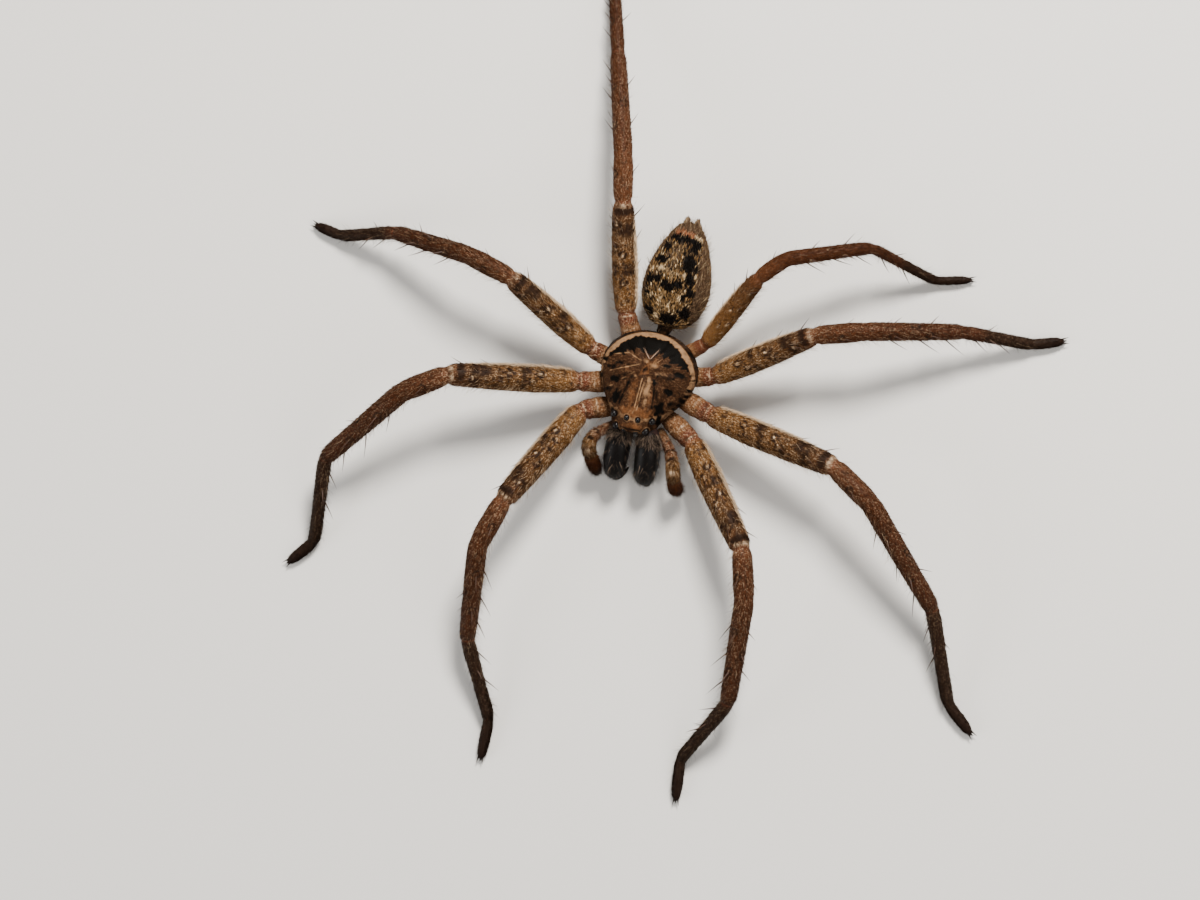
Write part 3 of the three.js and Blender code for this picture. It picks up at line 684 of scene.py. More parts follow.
def legSpines(form):
    # (root, direction, outward, length) of each spine of one leg
    leg, joints = form["leg"], form["joints"]
    least, most = spine["lift"]
    found = []
    for index, part in enumerate(segments):
        start, end = joints[index], joints[index + 1]
        axis = unit(end - start)
        upper = upperSide(axis, leg)
        front = unit(np.cross(axis, upper)) * leg["side"]
        half = legShape["half"][part] * leg["build"]["thick"]
        for i, (angle, places, plainLength) in enumerate(spine["rows"].get(part, ())):
            turned = math.radians(angle)
            outward = unit(upper * math.cos(turned) + front * math.sin(turned))
            for k, share in enumerate(places):
                draw = 200 * form["number"] + 30 * index + 5 * i + k
                lift = math.radians(least + (most - least) * stray(draw))
                length = plainLength * (1 + spine["strayLength"] * (stray(draw + 0.3) - 0.5))
                along = share + spine["strayAlong"] * (stray(draw + 0.6) - 0.5)
                direction = axis * math.cos(lift) + outward * math.sin(lift)
                root = start + (end - start) * along + outward * half * spine["rooted"]
                tip = root + direction * length
                if tip[2] > spine["clearance"] and root[2] > 2 * spine["clearance"]:
                    found.append((root, direction, outward, length))
    return found


legPattern = {
    # place along the leg, width, strength, how far round from the top, to the rear
    "blotches": ((1.13, 0.03, 0.5, 0.6), (1.40, 0.04, 0.7, 0.7), (1.44, 0.03, 0.6, -0.6),
                 (1.62, 0.02, 0.45, -0.6), (1.74, 0.06, 0.7, 0.5), (1.80, 0.05, 0.6, -0.5),
                 (1.915, 0.034, 0.95, 0.0), (2.3, 0.1, 0.35, 0.4), (3.2, 0.05, 0.35, -0.3),
                 (3.55, 0.06, 0.35, 0.4)),
    # place along the leg, width, strength
    "membranes": ((0.86, 0.06, 0.75), (1.0, 0.016, 0.95), (2.0, 0.012, 0.8), (3.0, 0.008, 0.3),
                  (4.0, 0.009, 0.5), (5.0, 0.008, 0.2)),
    "wider": 1.5,                   # how much wider they are on the regrown leg
    "plainer": 0.3,                 # the strength of its other marks
    # painted glints along the upper edges of the coxa and trochanter: place along the leg, width, strength
    "coxaGlints": ((0.62, 0.03, 0.5), (0.95, 0.014, 0.5)),
    "coxaDark": ((0.70, 0.014, 0.7), (0.985, 0.01, 0.7)),
    "knee": ((1.972, 0.015, 0.62),),
    # lines along the femur that face the rear: degrees, width, strength, where each begins and ends
    "silver": (76, 0.16, 0.8, (1.02, 1.08), (1.55, 1.9)),
    "shade": (46, 0.09, 0.42, (1.1, 1.3), (1.6, 1.8)),
    "speckle": {"coxa": 0.6, "femur": 0.9, "patella": 0.4, "tibia": 0.35, "metatarsus": 0.15, "tarsus": 0.0},
    "blotchStray": 0.03,            # how far a blotch strays along the leg
    # cosines from the top between which blotches, knee marks and the painted glints on the coxa fade in
    "blotchTop": (-0.3, 0.5), "kneeTop": (-0.4, 0.2), "coxaGlintTop": (-0.2, 0.4),
    "socket": 0.17,                 # how far round a spine's root it is pale
    "ring": (0.9, 0.36, 0.12),      # the dark ring outside that: strength, how far off, width
    "clear": (0.2, 0.4),            # how far round the root other dark marks fade
    "through": (0.5, 5),            # a point this far inside is on the other side, so it counts as far off
    "socketPale": ([1.9, 2.1, 4, 4.2], [1, 0.45, 0.45, 0.3]),       # places along the leg, strengths
    # how far back towards the lighter colours of the femur the outer segments of a leg are
    "lighter": {"left_3": 0.35, "right_3": 0.15, "left_4": 0.5, "right_4": 0.7},
    "lighterFrom": (2.0, 3.0),
    "lighterShare": ([0, 4, 6], [1, 1, 0.6]),       # places along the leg, shares
}


def femurLine(kind, leg, s, v):
    # a line along the upper side of the femur, on the side that faces the rear
    degrees, width, strength, begins, ends = legPattern[kind]
    rearness = -np.sin(2 * np.pi * v) * leg["side"]
    edge = math.sin(math.radians(degrees - leg["build"]["lean"]))
    line = bump(rearness - edge, width) * (np.cos(2 * np.pi * v) > 0)
    line = line * ramp(s, *begins) * (1 - ramp(s, *ends))
    return line, strength * line


def bands(s, kind):
    # rings round a leg
    return sum(strength * bump(s - at, width) for at, width, strength in legPattern[kind])


def legMarks(form, u, v, point):
    s = form["segment"](u)
    leg = form["leg"]
    turned = 2 * np.pi * v
    upperness, rearness = np.cos(turned), -np.sin(turned) * leg["side"]
    isRegrown = leg["build"] is regrown
    plain = legPattern["plainer"] if isRegrown else 1
    wider = legPattern["wider"] if isRegrown else 1
    dark = np.zeros_like(s)
    for k, (at, width, strength, toRear) in enumerate(legPattern["blotches"]):
        shift = legPattern["blotchStray"] * (stray(31 * form["number"] + k) - 0.5)
        reach = ramp(upperness * math.cos(toRear) + rearness * math.sin(toRear), *legPattern["blotchTop"])
        dark = np.maximum(dark, strength * plain * bump(s - at - shift, width) * reach)
    pale = plain * bands(s, "knee") * ramp(upperness, *legPattern["kneeTop"])
    pale = np.maximum(pale, plain * femurLine("silver", leg, s, v)[1])
    # painted glints on the upper side of the coxa and trochanter
    pale = np.maximum(pale, bands(s, "coxaGlints") * ramp(upperness, *legPattern["coxaGlintTop"]))
    dark = np.maximum(dark, plain * femurLine("shade", leg, s, v)[1])
    dark = np.maximum(dark, bands(s, "coxaDark"))
    socketPale = np.interp(s, *legPattern["socketPale"])
    inside, farOff = legPattern["through"]
    ringDark, ringAway, ringWidth = legPattern["ring"]
    for root, _, outward, _ in form["spines"]:
        apart = point - root
        rise = apart @ outward
        away = np.sqrt(np.maximum(np.sum(apart ** 2, axis=-1) - rise ** 2, 0)) + farOff * (rise < -inside)
        ring = ringDark * plain * bump(away - ringAway, ringWidth)
        dark = np.maximum(dark * ramp(away, *legPattern["clear"]), ring)
        pale = np.maximum(pale, socketPale * bump(away, legPattern["socket"]))
    warm = np.zeros_like(s)
    for joint, width, strength in legPattern["membranes"]:
        warm = np.maximum(warm, strength * bump(s - joint, width * wider))
    speckle = np.interp(s, np.arange(6) + 0.5, [legPattern["speckle"][part] for part in segments]) * plain
    lighter = legPattern["lighter"].get(form["name"], 0) * ramp(s, *legPattern["lighterFrom"])
    lighter = lighter * np.interp(s, *legPattern["lighterShare"])
    return np.clip(np.stack([dark * (1 - warm), pale, warm, speckle], axis=-1), 0, 1), s - lighter


# Head and thorax

shield = {
    "length": 10.9, "width": 10.5, "rim": 4.5,
    # share of the length, share of the half width, height on top, height underneath
    "sections": [
        (-0.500, 0.30, 6.1, 4.7), (-0.488, 0.40, 6.75, 4.2), (-0.440, 0.46, 7.0, 3.2),
        (-0.360, 0.51, 7.15, 2.6), (-0.260, 0.64, 7.25, 2.2), (-0.140, 0.82, 7.35, 1.9),
        (0.000, 0.95, 7.45, 1.75), (0.110, 1.00, 7.5, 1.7), (0.220, 0.97, 7.35, 1.8),
        (0.320, 0.87, 6.95, 2.1), (0.410, 0.69, 6.3, 2.7), (0.470, 0.45, 5.55, 3.4),
        (0.500, 0.24, 4.95, 4.1),
    ],
    "fovea": 1.2,
    "lean": 0.07,                   # the head turns this much to the spider's right of the middle line
    # across, y, half across, half lengthwise, strength
    "darkSpots": [
        (-2.4, -2.05, 0.5, 0.75, 1.1), (-2.95, -0.25, 0.7, 0.5, 0.9), (-3.5, 0.95, 0.6, 0.35, 0.8),
        (-3.4, -1.4, 0.6, 0.35, 0.7), (2.87, -0.5, 0.5, 0.4, 1.2), (4.3, -1.1, 0.45, 0.4, 0.9),
        (2.35, -2.4, 0.42, 0.8, 1.2), (3.3, -1.6, 0.6, 0.3, 0.6), (2.5, -3.7, 0.26, 0.7, 1.1),
        (-2.45, -3.8, 0.2, 0.7, 1.1), (0.4, -5.05, 1.3, 0.08, 1.0), (3.4, 1.5, 0.8, 0.4, 0.9),
        (2.4, 0.9, 0.6, 0.3, 0.7), (-2.0, 0.4, 0.5, 0.3, 0.6), (-3.0, 1.5, 0.8, 0.25, 0.7),
        (2.0, 2.2, 0.5, 0.3, 0.7),
    ],
    "paleSpots": [
        # the first three are a painted highlight: the light's reflection along the middle ridge in front of
        # the fovea
        (0.62, 0.3, 0.22, 0.5, 0.85), (0.64, -0.8, 0.34, 0.8, 0.9), (0.8, -2.0, 0.22, 0.6, 0.7),
        (0.5, 1.9, 0.5, 0.55, 0.6), (-0.3, 2.2, 0.35, 0.25, 0.65), (-1.95, -3.3, 0.14, 0.3, 0.7),
        (1.75, -3.55, 0.14, 0.2, 0.9), (3.4, -2.3, 0.6, 0.12, 0.6), (-0.2, -2.9, 1.3, 0.35, 0.36),
        (-0.9, 0.6, 0.3, 0.5, 0.4), (4.6, -0.2, 0.2, 0.5, 0.6), (1.4, 1.2, 0.5, 0.3, 0.42),
    ],
    "warmSpots": [
        (-0.7, -1.2, 0.5, 1.6, 0.7), (0.0, -3.25, 2.0, 0.62, 1.1), (0.4, 2.0, 0.7, 0.6, 0.6),
        (1.2, -1.6, 0.3, 1.0, 0.5), (0.2, -4.7, 1.2, 0.35, 0.7), (-1.6, 1.0, 0.8, 0.4, 0.3),
    ],
    # from, to, half width, strength; the first list is pale and the second dark
    "paleLines": [
        ((-0.9, 1.75), (-3.85, 0.45), 0.07, 0.75), ((-0.8, 2.2), (-2.3, 2.72), 0.06, 0.7),
        ((-2.3, 2.72), (-3.9, 2.24), 0.06, 0.8), ((-1.1, 0.95), (-2.35, -0.2), 0.09, 0.5),
        ((1.2, 1.65), (4.6, 0.05), 0.05, 0.6), ((0.85, 2.3), (1.65, 3.2), 0.05, 0.55),
        ((1.0, 2.0), (3.4, 2.1), 0.05, 0.4), ((-0.13, 0.4), (-0.13, -3.4), 0.05, 1.0),
        ((0.08, 0.4), (0.21, -3.3), 0.045, 0.9), ((1.05, -0.6), (1.3, -3.0), 0.05, 0.45),
        ((-1.0, -0.6), (-1.35, -3.2), 0.05, 0.4), ((-3.0, -0.9), (-3.9, -1.3), 0.08, 0.5),
    ],
    "darkLines": [
        ((1.05, 0.5), (1.4, -0.5), 0.1, 1.1), ((1.4, -0.5), (1.6, -2.4), 0.13, 0.75),
        ((-1.3, 0.3), (-1.95, -3.0), 0.2, 0.62), ((1.3, 0.9), (2.2, -3.0), 0.16, 0.55),
        ((0.35, 0.3), (0.3, -2.6), 0.04, 0.8), ((-0.35, 0.3), (-0.4, -2.8), 0.04, 0.6),
        ((-0.75, 0.4), (-3.4, -0.6), 0.07, 0.6), ((1.3, 1.3), (4.3, -0.6), 0.06, 0.6),
        ((-1.2, 1.35), (-3.9, 1.6), 0.07, 0.5),
    ],
    "pit": ((-0.08, 2.05), (-0.65, 0.65), (0.42, 0.98)),       # corners of the dark triangle in the middle
    "ends": 0.012,                  # share of the length over which each end is rounded
    "dome": 0.82, "keel": 0.7,      # powers that round its upper side and its underside
    "flank": (0.42, 0.5),           # how much narrower it is below, and the power of that
    "furrow": (1.4, 0.35, 0.7, 0.18),       # y, depth, spread lengthwise, spread across
    "neck": (2.3, 3, 0.28, 0.5, 0.3),       # how far aside, how far in front, slant, width, depth
    "neckReach": (-1, 2),                   # how far in front it begins and is whole
    "spokes": ((-150, -118, -84, -50, -22), 0.22, 0.13),    # headings, width, depth
    "spokeReach": ((0.5, 1.4), (3.2, 4.8)),     # where they begin and end
    "spokeGrows": (0.5, 0.25, 4),           # share of the width at the start, what each mm adds, up to where
    "rimMiddle": (0.55, 4.9),               # y, half length
    # waves that break up its bands: size, rate, start
    "fray": ((0.016, 7.3, 2), (0.01, 17.7, 0), (0.008, 41, 1), (0.006, 67, 0)),
    "innerFray": ((0.03, 23, 0), (0.02, 57, 1)),
    # bands along the rim, as shares of the way out to it; the last pair is degrees from the rear
    "crescent": (1.5, 0.5, 0.06, (0.86, 0.872), (62, 90)),      # strength, inner edge, its width, outer edge
    "scallops": (0.7, (0.83, 0.87), (0.96, 0.975), (62, 78)),   # strength, edges
    # painted shadow along the rim's outer edge, where the shield meets the legs
    "rimShadow": (0.52, (0.968, 0.98), (80, 110)),                # strength, inner edge
    "paleRim": (0.5, (0.872, 0.885), (0.962, 0.972), (60, 100)),    # how much weaker in front, edges
    "pitDark": 0.45,
    "pitEdge": 0.08,
    "bearingFrom": 0.3,                     # y of the point that bearings are taken from
    "upper": (-0.2, 0.15),                  # heights over the rim between which its markings fade in
    "narrowing": (0.2, 55),                 # how the crescent narrows: by how much, at how many degrees
    "scallopWaves": (3.6, 1.7, 0.7),        # degrees for each radian of the two waves, share of the second
    "scallopEdges": (0.0, 0.9),
    "scallopFront": (-2.8, -2.2),           # y where the scallops begin behind the head
    "rimFray": 4,                           # how much the waves vary the strength of the dark rim
    "eyeRing": (0.6, 0.1, 0.07),            # pale ring round each eye: strength, how far off, width
    "eyeClear": (0.08, 0.2),                # how far round each eye dark marks fade
    "speckle": (0.2, 0.15),                 # underneath, and how much more on top
}


def within(value, begins, ends):
    return ramp(value, *begins) * (1 - ramp(value, *ends))


def shieldForm():
    rows = np.array(shield["sections"])
    curves = [softCurve(rows[:, [0, k]], 300, 30) for k in (1, 2, 3)]
    furrowAt, furrowDepth, furrowLong, furrowAcross = shield["furrow"]
    aside, front, slant, neckWidth, neckDepth = shield["neck"]
    narrower, flankPower = shield["flank"]
    headings, spokeWidth, spokeDepth = shield["spokes"]

    def at(u, v):
        along = u - 0.5
        halfWidth, top, bottom = (np.interp(along, *curve) for curve in curves)
        ends = rounded((0.5 - np.abs(along)) / shield["ends"])
        half = (halfWidth * shield["width"] / 2 - body["coat"]) * ends
        rim = shield["rim"] * ends + (1 - ends) * (top + bottom) / 2
        top = rim + (top - body["coat"] - rim) * ends
        bottom = rim + (bottom + body["coat"] - rim) * ends
        angle = 2 * np.pi * v
        rise = np.cos(angle)
        above, below = np.clip(rise, 0, 1), np.clip(-rise, 0, 1)
        y = along * shield["length"]
        x = np.sin(angle) * half
        lean = shield["lean"] * np.minimum(y - shield["fovea"], 0)
        dome = above ** shield["dome"]
        furrow = furrowDepth * np.exp(-((y - furrowAt) ** 2) / furrowLong - x ** 2 / furrowAcross)
        neck = neckDepth * bump(np.abs(x) - aside - slant * (y + front), neckWidth)
        neck = neck * ramp(-y, *shield["neckReach"])
        spokes = sum(shieldSpoke(np.abs(x), y, heading, spokeWidth) for heading in headings)
        upper = rim + (top - rim) * dome - (furrow + neck + spokeDepth * spokes * dome)
        lower = rim + (bottom - rim) * below ** shield["keel"]
        isUpper = rise >= 0
        across = np.where(isUpper, x, x * (1 - narrower * below ** flankPower)) + lean
        return toWorld(np.stack([across, y, np.where(isUpper, upper, lower)], axis=-1))

    return {"at": at, "place": toBody, "marks": shieldMarks, "cell": mapCell("shield")}


def shieldSpoke(x, y, heading, width):
    # how near a point is to a line that runs out from the fovea; heading 0 is to the rear
    out = math.radians(heading)
    direction = (-math.sin(out), math.cos(out))
    reach = x * direction[0] + (y - shield["fovea"]) * direction[1]
    aside = x * direction[1] - (y - shield["fovea"]) * direction[0]
    atStart, growth, upTo = shield["spokeGrows"]
    width = width * (atStart + growth * np.clip(reach, 0, upTo))
    return bump(aside, width) * within(reach, *shield["spokeReach"])


# How edges are broken up: plain size, how much it varies, and two waves as rates across and lengthwise
brokenEdges = {"spots": (1, 0.6, (7.1, 2.3), (-3.7, 6.3)), "lines": (1.1, 0.55, (5.3, 3.1), (-2.1, 4.3))}


def brokenBy(kind, x, y):
    plain, varies, first, second = brokenEdges[kind]
    return plain + varies * np.sin(first[0] * x + first[1] * y) * np.sin(second[1] * y + second[0] * x)


def spotted(x, y, spots):
    # the strongest of many oval spots at each point, with broken edges
    found = np.zeros_like(x)
    broken = brokenBy("spots", x, y)
    for acrossAt, alongAt, acrossHalf, alongHalf, strength in spots:
        away = ((x - acrossAt) / acrossHalf) ** 2 + ((y - alongAt) / alongHalf) ** 2
        found = np.maximum(found, strength * np.exp(-away * broken))
    return found


def lined(x, y, lines):
    # the strongest of many tapered lines at each point, with broken edges
    found = np.zeros_like(x)
    broken = brokenBy("lines", x, y)
    for start, end, half, strength in lines:
        way = np.subtract(end, start)
        share = np.clip(((x - start[0]) * way[0] + (y - start[1]) * way[1]) / way.dot(way), 0, 1)
        away = np.hypot(x - start[0] - share * way[0], y - start[1] - share * way[1])
        found = np.maximum(found, strength * bump(away * broken, half * (1.25 - 0.5 * share)))
    return found


def waves(angle, rows):
    return sum(size * np.sin(rate * angle + start) for size, rate, start in rows)


def inTriangle(x, y, corners, edge):
    # 1 inside, falling to 0 outside over a soft edge
    found = np.ones_like(x)
    for (x0, y0), (x1, y1) in zip(corners, corners[1:] + corners[:1]):
        aside = ((x1 - x0) * (y - y0) - (y1 - y0) * (x - x0)) / math.hypot(x1 - x0, y1 - y0)
        found = found * ramp(aside, -edge, edge)
    return found


def shieldMarks(u, v, point):
    place = toBody(point)
    x, y, z = place.T
    upper = ramp(z - shield["rim"], *shield["upper"])
    toFovea = y - shield["fovea"]
    middleY, halfLength = shield["rimMiddle"]
    edge = np.hypot((x - shield["lean"] * np.minimum(toFovea, 0)) / (shield["width"] / 2),
                    (y - middleY) / halfLength)
    across = x - shield["lean"] * toFovea
    bearing = np.arctan2(across, y - shield["bearingFrom"])
    toRear = np.degrees(np.abs(bearing))
    fray = waves(bearing, shield["fray"])
    # the dark crescent at the rear and the sides, inside the pale rim
    strength, inner, fades, outer, rounds = shield["crescent"]
    narrower, degrees = shield["narrowing"]
    inner = inner + narrower * (toRear / degrees) ** 2 + waves(bearing, shield["innerFray"])
    crescent = ramp(edge + 2 * fray, inner, inner + fades) * (1 - ramp(edge + fray, *outer))
    dark = strength * crescent * (1 - ramp(toRear, *rounds))
    # dark scallops on the rim from there to the front, and a painted shadow along its outer edge, where it
    # meets the legs
    strength, begins, ends, rounds = shield["scallops"]
    first, second, share = shield["scallopWaves"]
    scallops = np.sin(toRear / first) + share * np.sin(toRear / second + across)
    scallops = ramp(scallops, *shield["scallopEdges"]) * ramp(toRear, *rounds)
    scallops = strength * scallops * within(edge, begins, ends) * ramp(y, *shield["scallopFront"])
    dark = np.maximum(dark, scallops)
    strength, begins, rounds = shield["rimShadow"]
    strength = strength + shield["rimFray"] * fray
    dark = np.maximum(dark, ramp(edge, *begins) * (1 - ramp(toRear, *rounds)) * strength)
    paler, begins, ends, rounds = shield["paleRim"]
    pale = ramp(edge + fray, *begins) * (1 - ramp(edge, *ends)) * (1 - paler * ramp(toRear, *rounds))
    # spots and lines, among them the painted highlight on the middle ridge, then the pit in the middle, then
    # the eyes
    paleLines = lined(across, y, shield["paleLines"])
    dark = np.maximum(dark * (1 - paleLines), spotted(across, y, shield["darkSpots"]))
    dark = np.maximum(dark, lined(across, y, shield["darkLines"]))
    pale = np.maximum(np.maximum(pale, paleLines), spotted(across, y, shield["paleSpots"]))
    warm = spotted(across, y, shield["warmSpots"])
    pit = inTriangle(across, y, shield["pit"], shield["pitEdge"])
    dark = np.maximum(dark * (1 - pit), shield["pitDark"] * pit)
    pale = pale * (1 - pit)
    warm = np.maximum(warm, pit)
    strength, off, width = shield["eyeRing"]
    for middle, radius in eyes.values():
        away = np.linalg.norm(place - middle, axis=-1) - radius
        dark = dark * ramp(away, *shield["eyeClear"])
        pale = np.maximum(pale, strength * bump(away - off, width))
    underneath, more = shield["speckle"]
    marks = np.stack([dark * upper, pale * upper, warm * upper, underneath + more * upper], axis=-1)
    return np.clip(marks, 0, 1), np.zeros_like(x)


# Abdomen and spinnerets

abdomen = {
    "length": 11.4, "width": 7.3, "height": 5.5, "start": 6.0, "middle": 4.7, "shift": 0.85, "coat": 0.14,
    "ends": 0.04,                   # share of the length over which each end is rounded
    "flatter": 2.1,                 # the underside's height is the whole height over this
    "droop": 0.6,
    "outline": [(0.0, 0.34), (0.05, 0.58), (0.13, 0.79), (0.25, 0.95), (0.37, 1.0), (0.5, 0.96),
                (0.64, 0.85), (0.78, 0.69), (0.9, 0.49), (0.97, 0.33), (1.0, 0.15)],
    "spinneretWay": (0.06, 1, -0.12),       # out, to the rear and up, for each mm of a spinneret
    "spinneretTaper": ((0, 0.6, 1), (1, 0.95, 0.62)),       # places along it, shares of its thickness
    # across, back from the rear end, height, length, half thickness
    "spinnerets": [(0.58, 1.3, 3.0, 1.35, 0.48), (0.5, 0.85, 3.75, 1.35, 0.38), (0.2, 1.25, 3.3, 0.9, 0.27)],
    "back": (-0.48, 2.77),          # the patterned back: middle from the abdomen's own line, half width
    "backFades": ((0, 0.5), (15.6, 16.0)),      # over how much at its sides, and where at its rear
    # across from the abdomen's own line, y, half across, half lengthwise, strength
    "darkSpots": [
        (-2.15, 7.35, 0.5, 0.5, 1.0), (0.1, 6.95, 0.85, 0.4, 1.0), (1.6, 7.7, 0.65, 0.5, 0.9),
        (-1.0, 10.35, 0.42, 0.5, 0.9), (-0.3, 9.95, 0.5, 0.34, 0.8), (0.55, 10.5, 0.45, 0.42, 0.9),
        (0.0, 10.6, 0.3, 0.25, 0.7), (1.55, 11.1, 0.55, 0.65, 0.95), (2.0, 9.85, 0.5, 0.65, 0.85),
        (1.2, 9.3, 0.3, 0.3, 0.8), (-2.7, 10.45, 0.4, 0.5, 1.1), (-1.9, 10.75, 0.45, 0.35, 1.2),
        (-1.9, 12.7, 0.65, 0.5, 1.0), (1.05, 12.75, 0.6, 0.9, 1.15), (1.1, 14.4, 0.5, 0.4, 1.1),
        (-1.8, 14.2, 0.5, 0.5, 0.8), (-1.85, 15.4, 0.5, 0.35, 1.4), (-1.0, 15.45, 0.6, 0.4, 1.6),
        (-0.2, 15.4, 0.6, 0.42, 1.6), (0.7, 15.25, 0.6, 0.38, 1.6), (1.45, 15.05, 0.4, 0.3, 1.3),
        (2.0, 12.3, 0.35, 0.6, 0.7), (-2.6, 9.0, 0.3, 0.5, 0.7),
    ],
    "paleSpots": [
        (-1.2, 6.95, 0.32, 0.4, 1.0), (-1.7, 11.85, 0.5, 0.3, 1.0), (0.85, 11.6, 0.26, 0.42, 1.0),
        (0.95, 15.85, 0.35, 0.15, 1.3), (1.7, 15.5, 0.25, 0.12, 1.2), (-1.0, 8.6, 0.2, 0.4, 0.9),
        (0.75, 9.15, 0.2, 0.4, 0.9), (-0.1, 8.4, 0.18, 0.4, 0.8), (-2.1, 8.95, 0.22, 0.45, 0.9),
        (-0.28, 11.4, 0.9, 0.5, 0.5), (-0.26, 13.9, 0.45, 0.4, 0.5), (2.0, 11.6, 0.2, 0.4, 0.8),
        (-1.3, 9.6, 0.16, 0.35, 0.7), (1.3, 10.1, 0.16, 0.3, 0.7), (-2.6, 11.6, 0.2, 0.35, 0.8),
        (-0.5, 12.9, 0.3, 0.8, 0.35),
    ],
    "warmSpots": [
        (-0.28, 11.4, 1.0, 0.6, 0.6), (-0.5, 8.6, 1.9, 1.1, 0.75), (0.0, 6.3, 2.6, 0.3, 0.5),
        (-0.4, 9.6, 1.5, 0.5, 0.6),
    ],
    "upper": (-0.2, 1.2),           # heights over the middle between which its markings fade in
    "backShade": 0.25,              # how much dark and warm lies over the whole back
    "clearing": (0.9, (0.5, 1)),    # how much of the dark gives way to pale, and to how strong a pale
    "paleEnd": (0.35, (16.3, 16.8)),        # strength at the rear end, and where it begins
    "orangeEdge": (0.3, 0.5),
    "speckle": (0.3, 0.7),          # everywhere, and how much more on the back
    "orangeLine": [((-1.15, 16.05), (0.75, 15.88), 0.22, 1.0)],
    "paleLine": [((0.75, 15.92), (1.85, 15.5), 0.12, 1.2)],
}


def abdomenForm():
    curve = softCurve(abdomen["outline"], 200, 16)

    def at(u, v):
        size = np.interp(u, *curve) * rounded((0.5 - np.abs(u - 0.5)) / abdomen["ends"])
        angle = 2 * np.pi * v
        rise = np.cos(angle)
        wide = size * (abdomen["width"] / 2 - abdomen["coat"])
        tall = abdomen["height"] / np.where(rise > 0, 2, abdomen["flatter"])
        return toWorld(np.stack([
            abdomen["shift"] + np.sin(angle) * wide,
            abdomen["start"] + abdomen["coat"] + u * (abdomen["length"] - 2 * abdomen["coat"]),
            abdomen["middle"] - abdomen["droop"] * ramp(u, 0.5, 1) + rise * size * (tall - abdomen["coat"]),
        ], axis=-1))

    return {"at": at, "place": toBody, "marks": abdomenMarks, "cell": mapCell("abdomen")}


def backShare(upper, across, y):
    # how far a point lies on the patterned back, and not on the flanks or the rear end
    middle, half = abdomen["back"]
    sides, rear = abdomen["backFades"]
    return upper * ramp(half - np.abs(across - middle), *sides) * (1 - ramp(y, *rear))


def abdomenMarks(u, v, point):
    x, y, z = toBody(point).T
    across = x - abdomen["shift"]
    upper = ramp(z - abdomen["middle"], *abdomen["upper"])
    dorsal = backShare(upper, across, y)
    shade = abdomen["backShade"] * dorsal
    strength, begins = abdomen["paleEnd"]
    pale = spotted(across, y, abdomen["paleSpots"]) + strength * ramp(y, *begins)
    pale = np.maximum(pale, lined(across, y, abdomen["paleLine"]))
    orange = ramp(lined(across, y, abdomen["orangeLine"]), *abdomen["orangeEdge"]) * upper
    gives, edge = abdomen["clearing"]
    dark = (spotted(across, y, abdomen["darkSpots"]) + shade) * (1 - gives * ramp(pale, *edge))
    warm = spotted(across, y, abdomen["warmSpots"]) + shade
    plain = upper * (1 - orange)
    everywhere, more = abdomen["speckle"]
    speckle = everywhere + more * dorsal * (1 - orange)
    marks = np.stack([dark * plain, pale * plain, warm * plain, speckle], axis=-1)
    return np.clip(marks, 0, 1), 1 + orange


def lineForm(points, halves, marks, cell=mapCell("whole"), inset=0.0, closed=0.3, creases=()):
    # a tube along a bent line in the body's axes, with rounded ends
    points = np.array(points, float)
    run = np.concatenate([[0], np.cumsum(np.linalg.norm(np.diff(points, axis=0), axis=1))])
    even = np.linspace(0, run[-1], 80)
    share = even / run[-1]
    centre = np.stack([softened(np.interp(even, run, points[:, k]), 40) for k in range(3)], axis=1)
    half = np.maximum(softened(np.interp(even, run, halves), 30) - inset, 0.02)
    for at, depth, width in creases:
        half = half * (1 - depth * bump(share - at, width))
    half = half * rounded(np.minimum(even, run[-1] - even) / closed)
    axis = unit(np.gradient(centre, even, axis=0))
    side = unit(np.cross(axis, np.array([0, 0, 1.0])))
    plainTube = tube(share, centre, side, np.cross(side, axis), half)
    return {"at": lambda u, v: toWorld(plainTube(u, v)), "place": toBody, "marks": marks, "cell": cell}


def evenMarks(dark=0.0, pale=0.0, warm=0.0, speckle=0.0):
    def marks(u, v, point):
        return np.tile([dark, pale, warm, speckle], (len(u), 1)), np.zeros(len(u))
    return marks


# Jaws, fangs, feelers and mouth plates, in the body's axes; x counts away from the middle

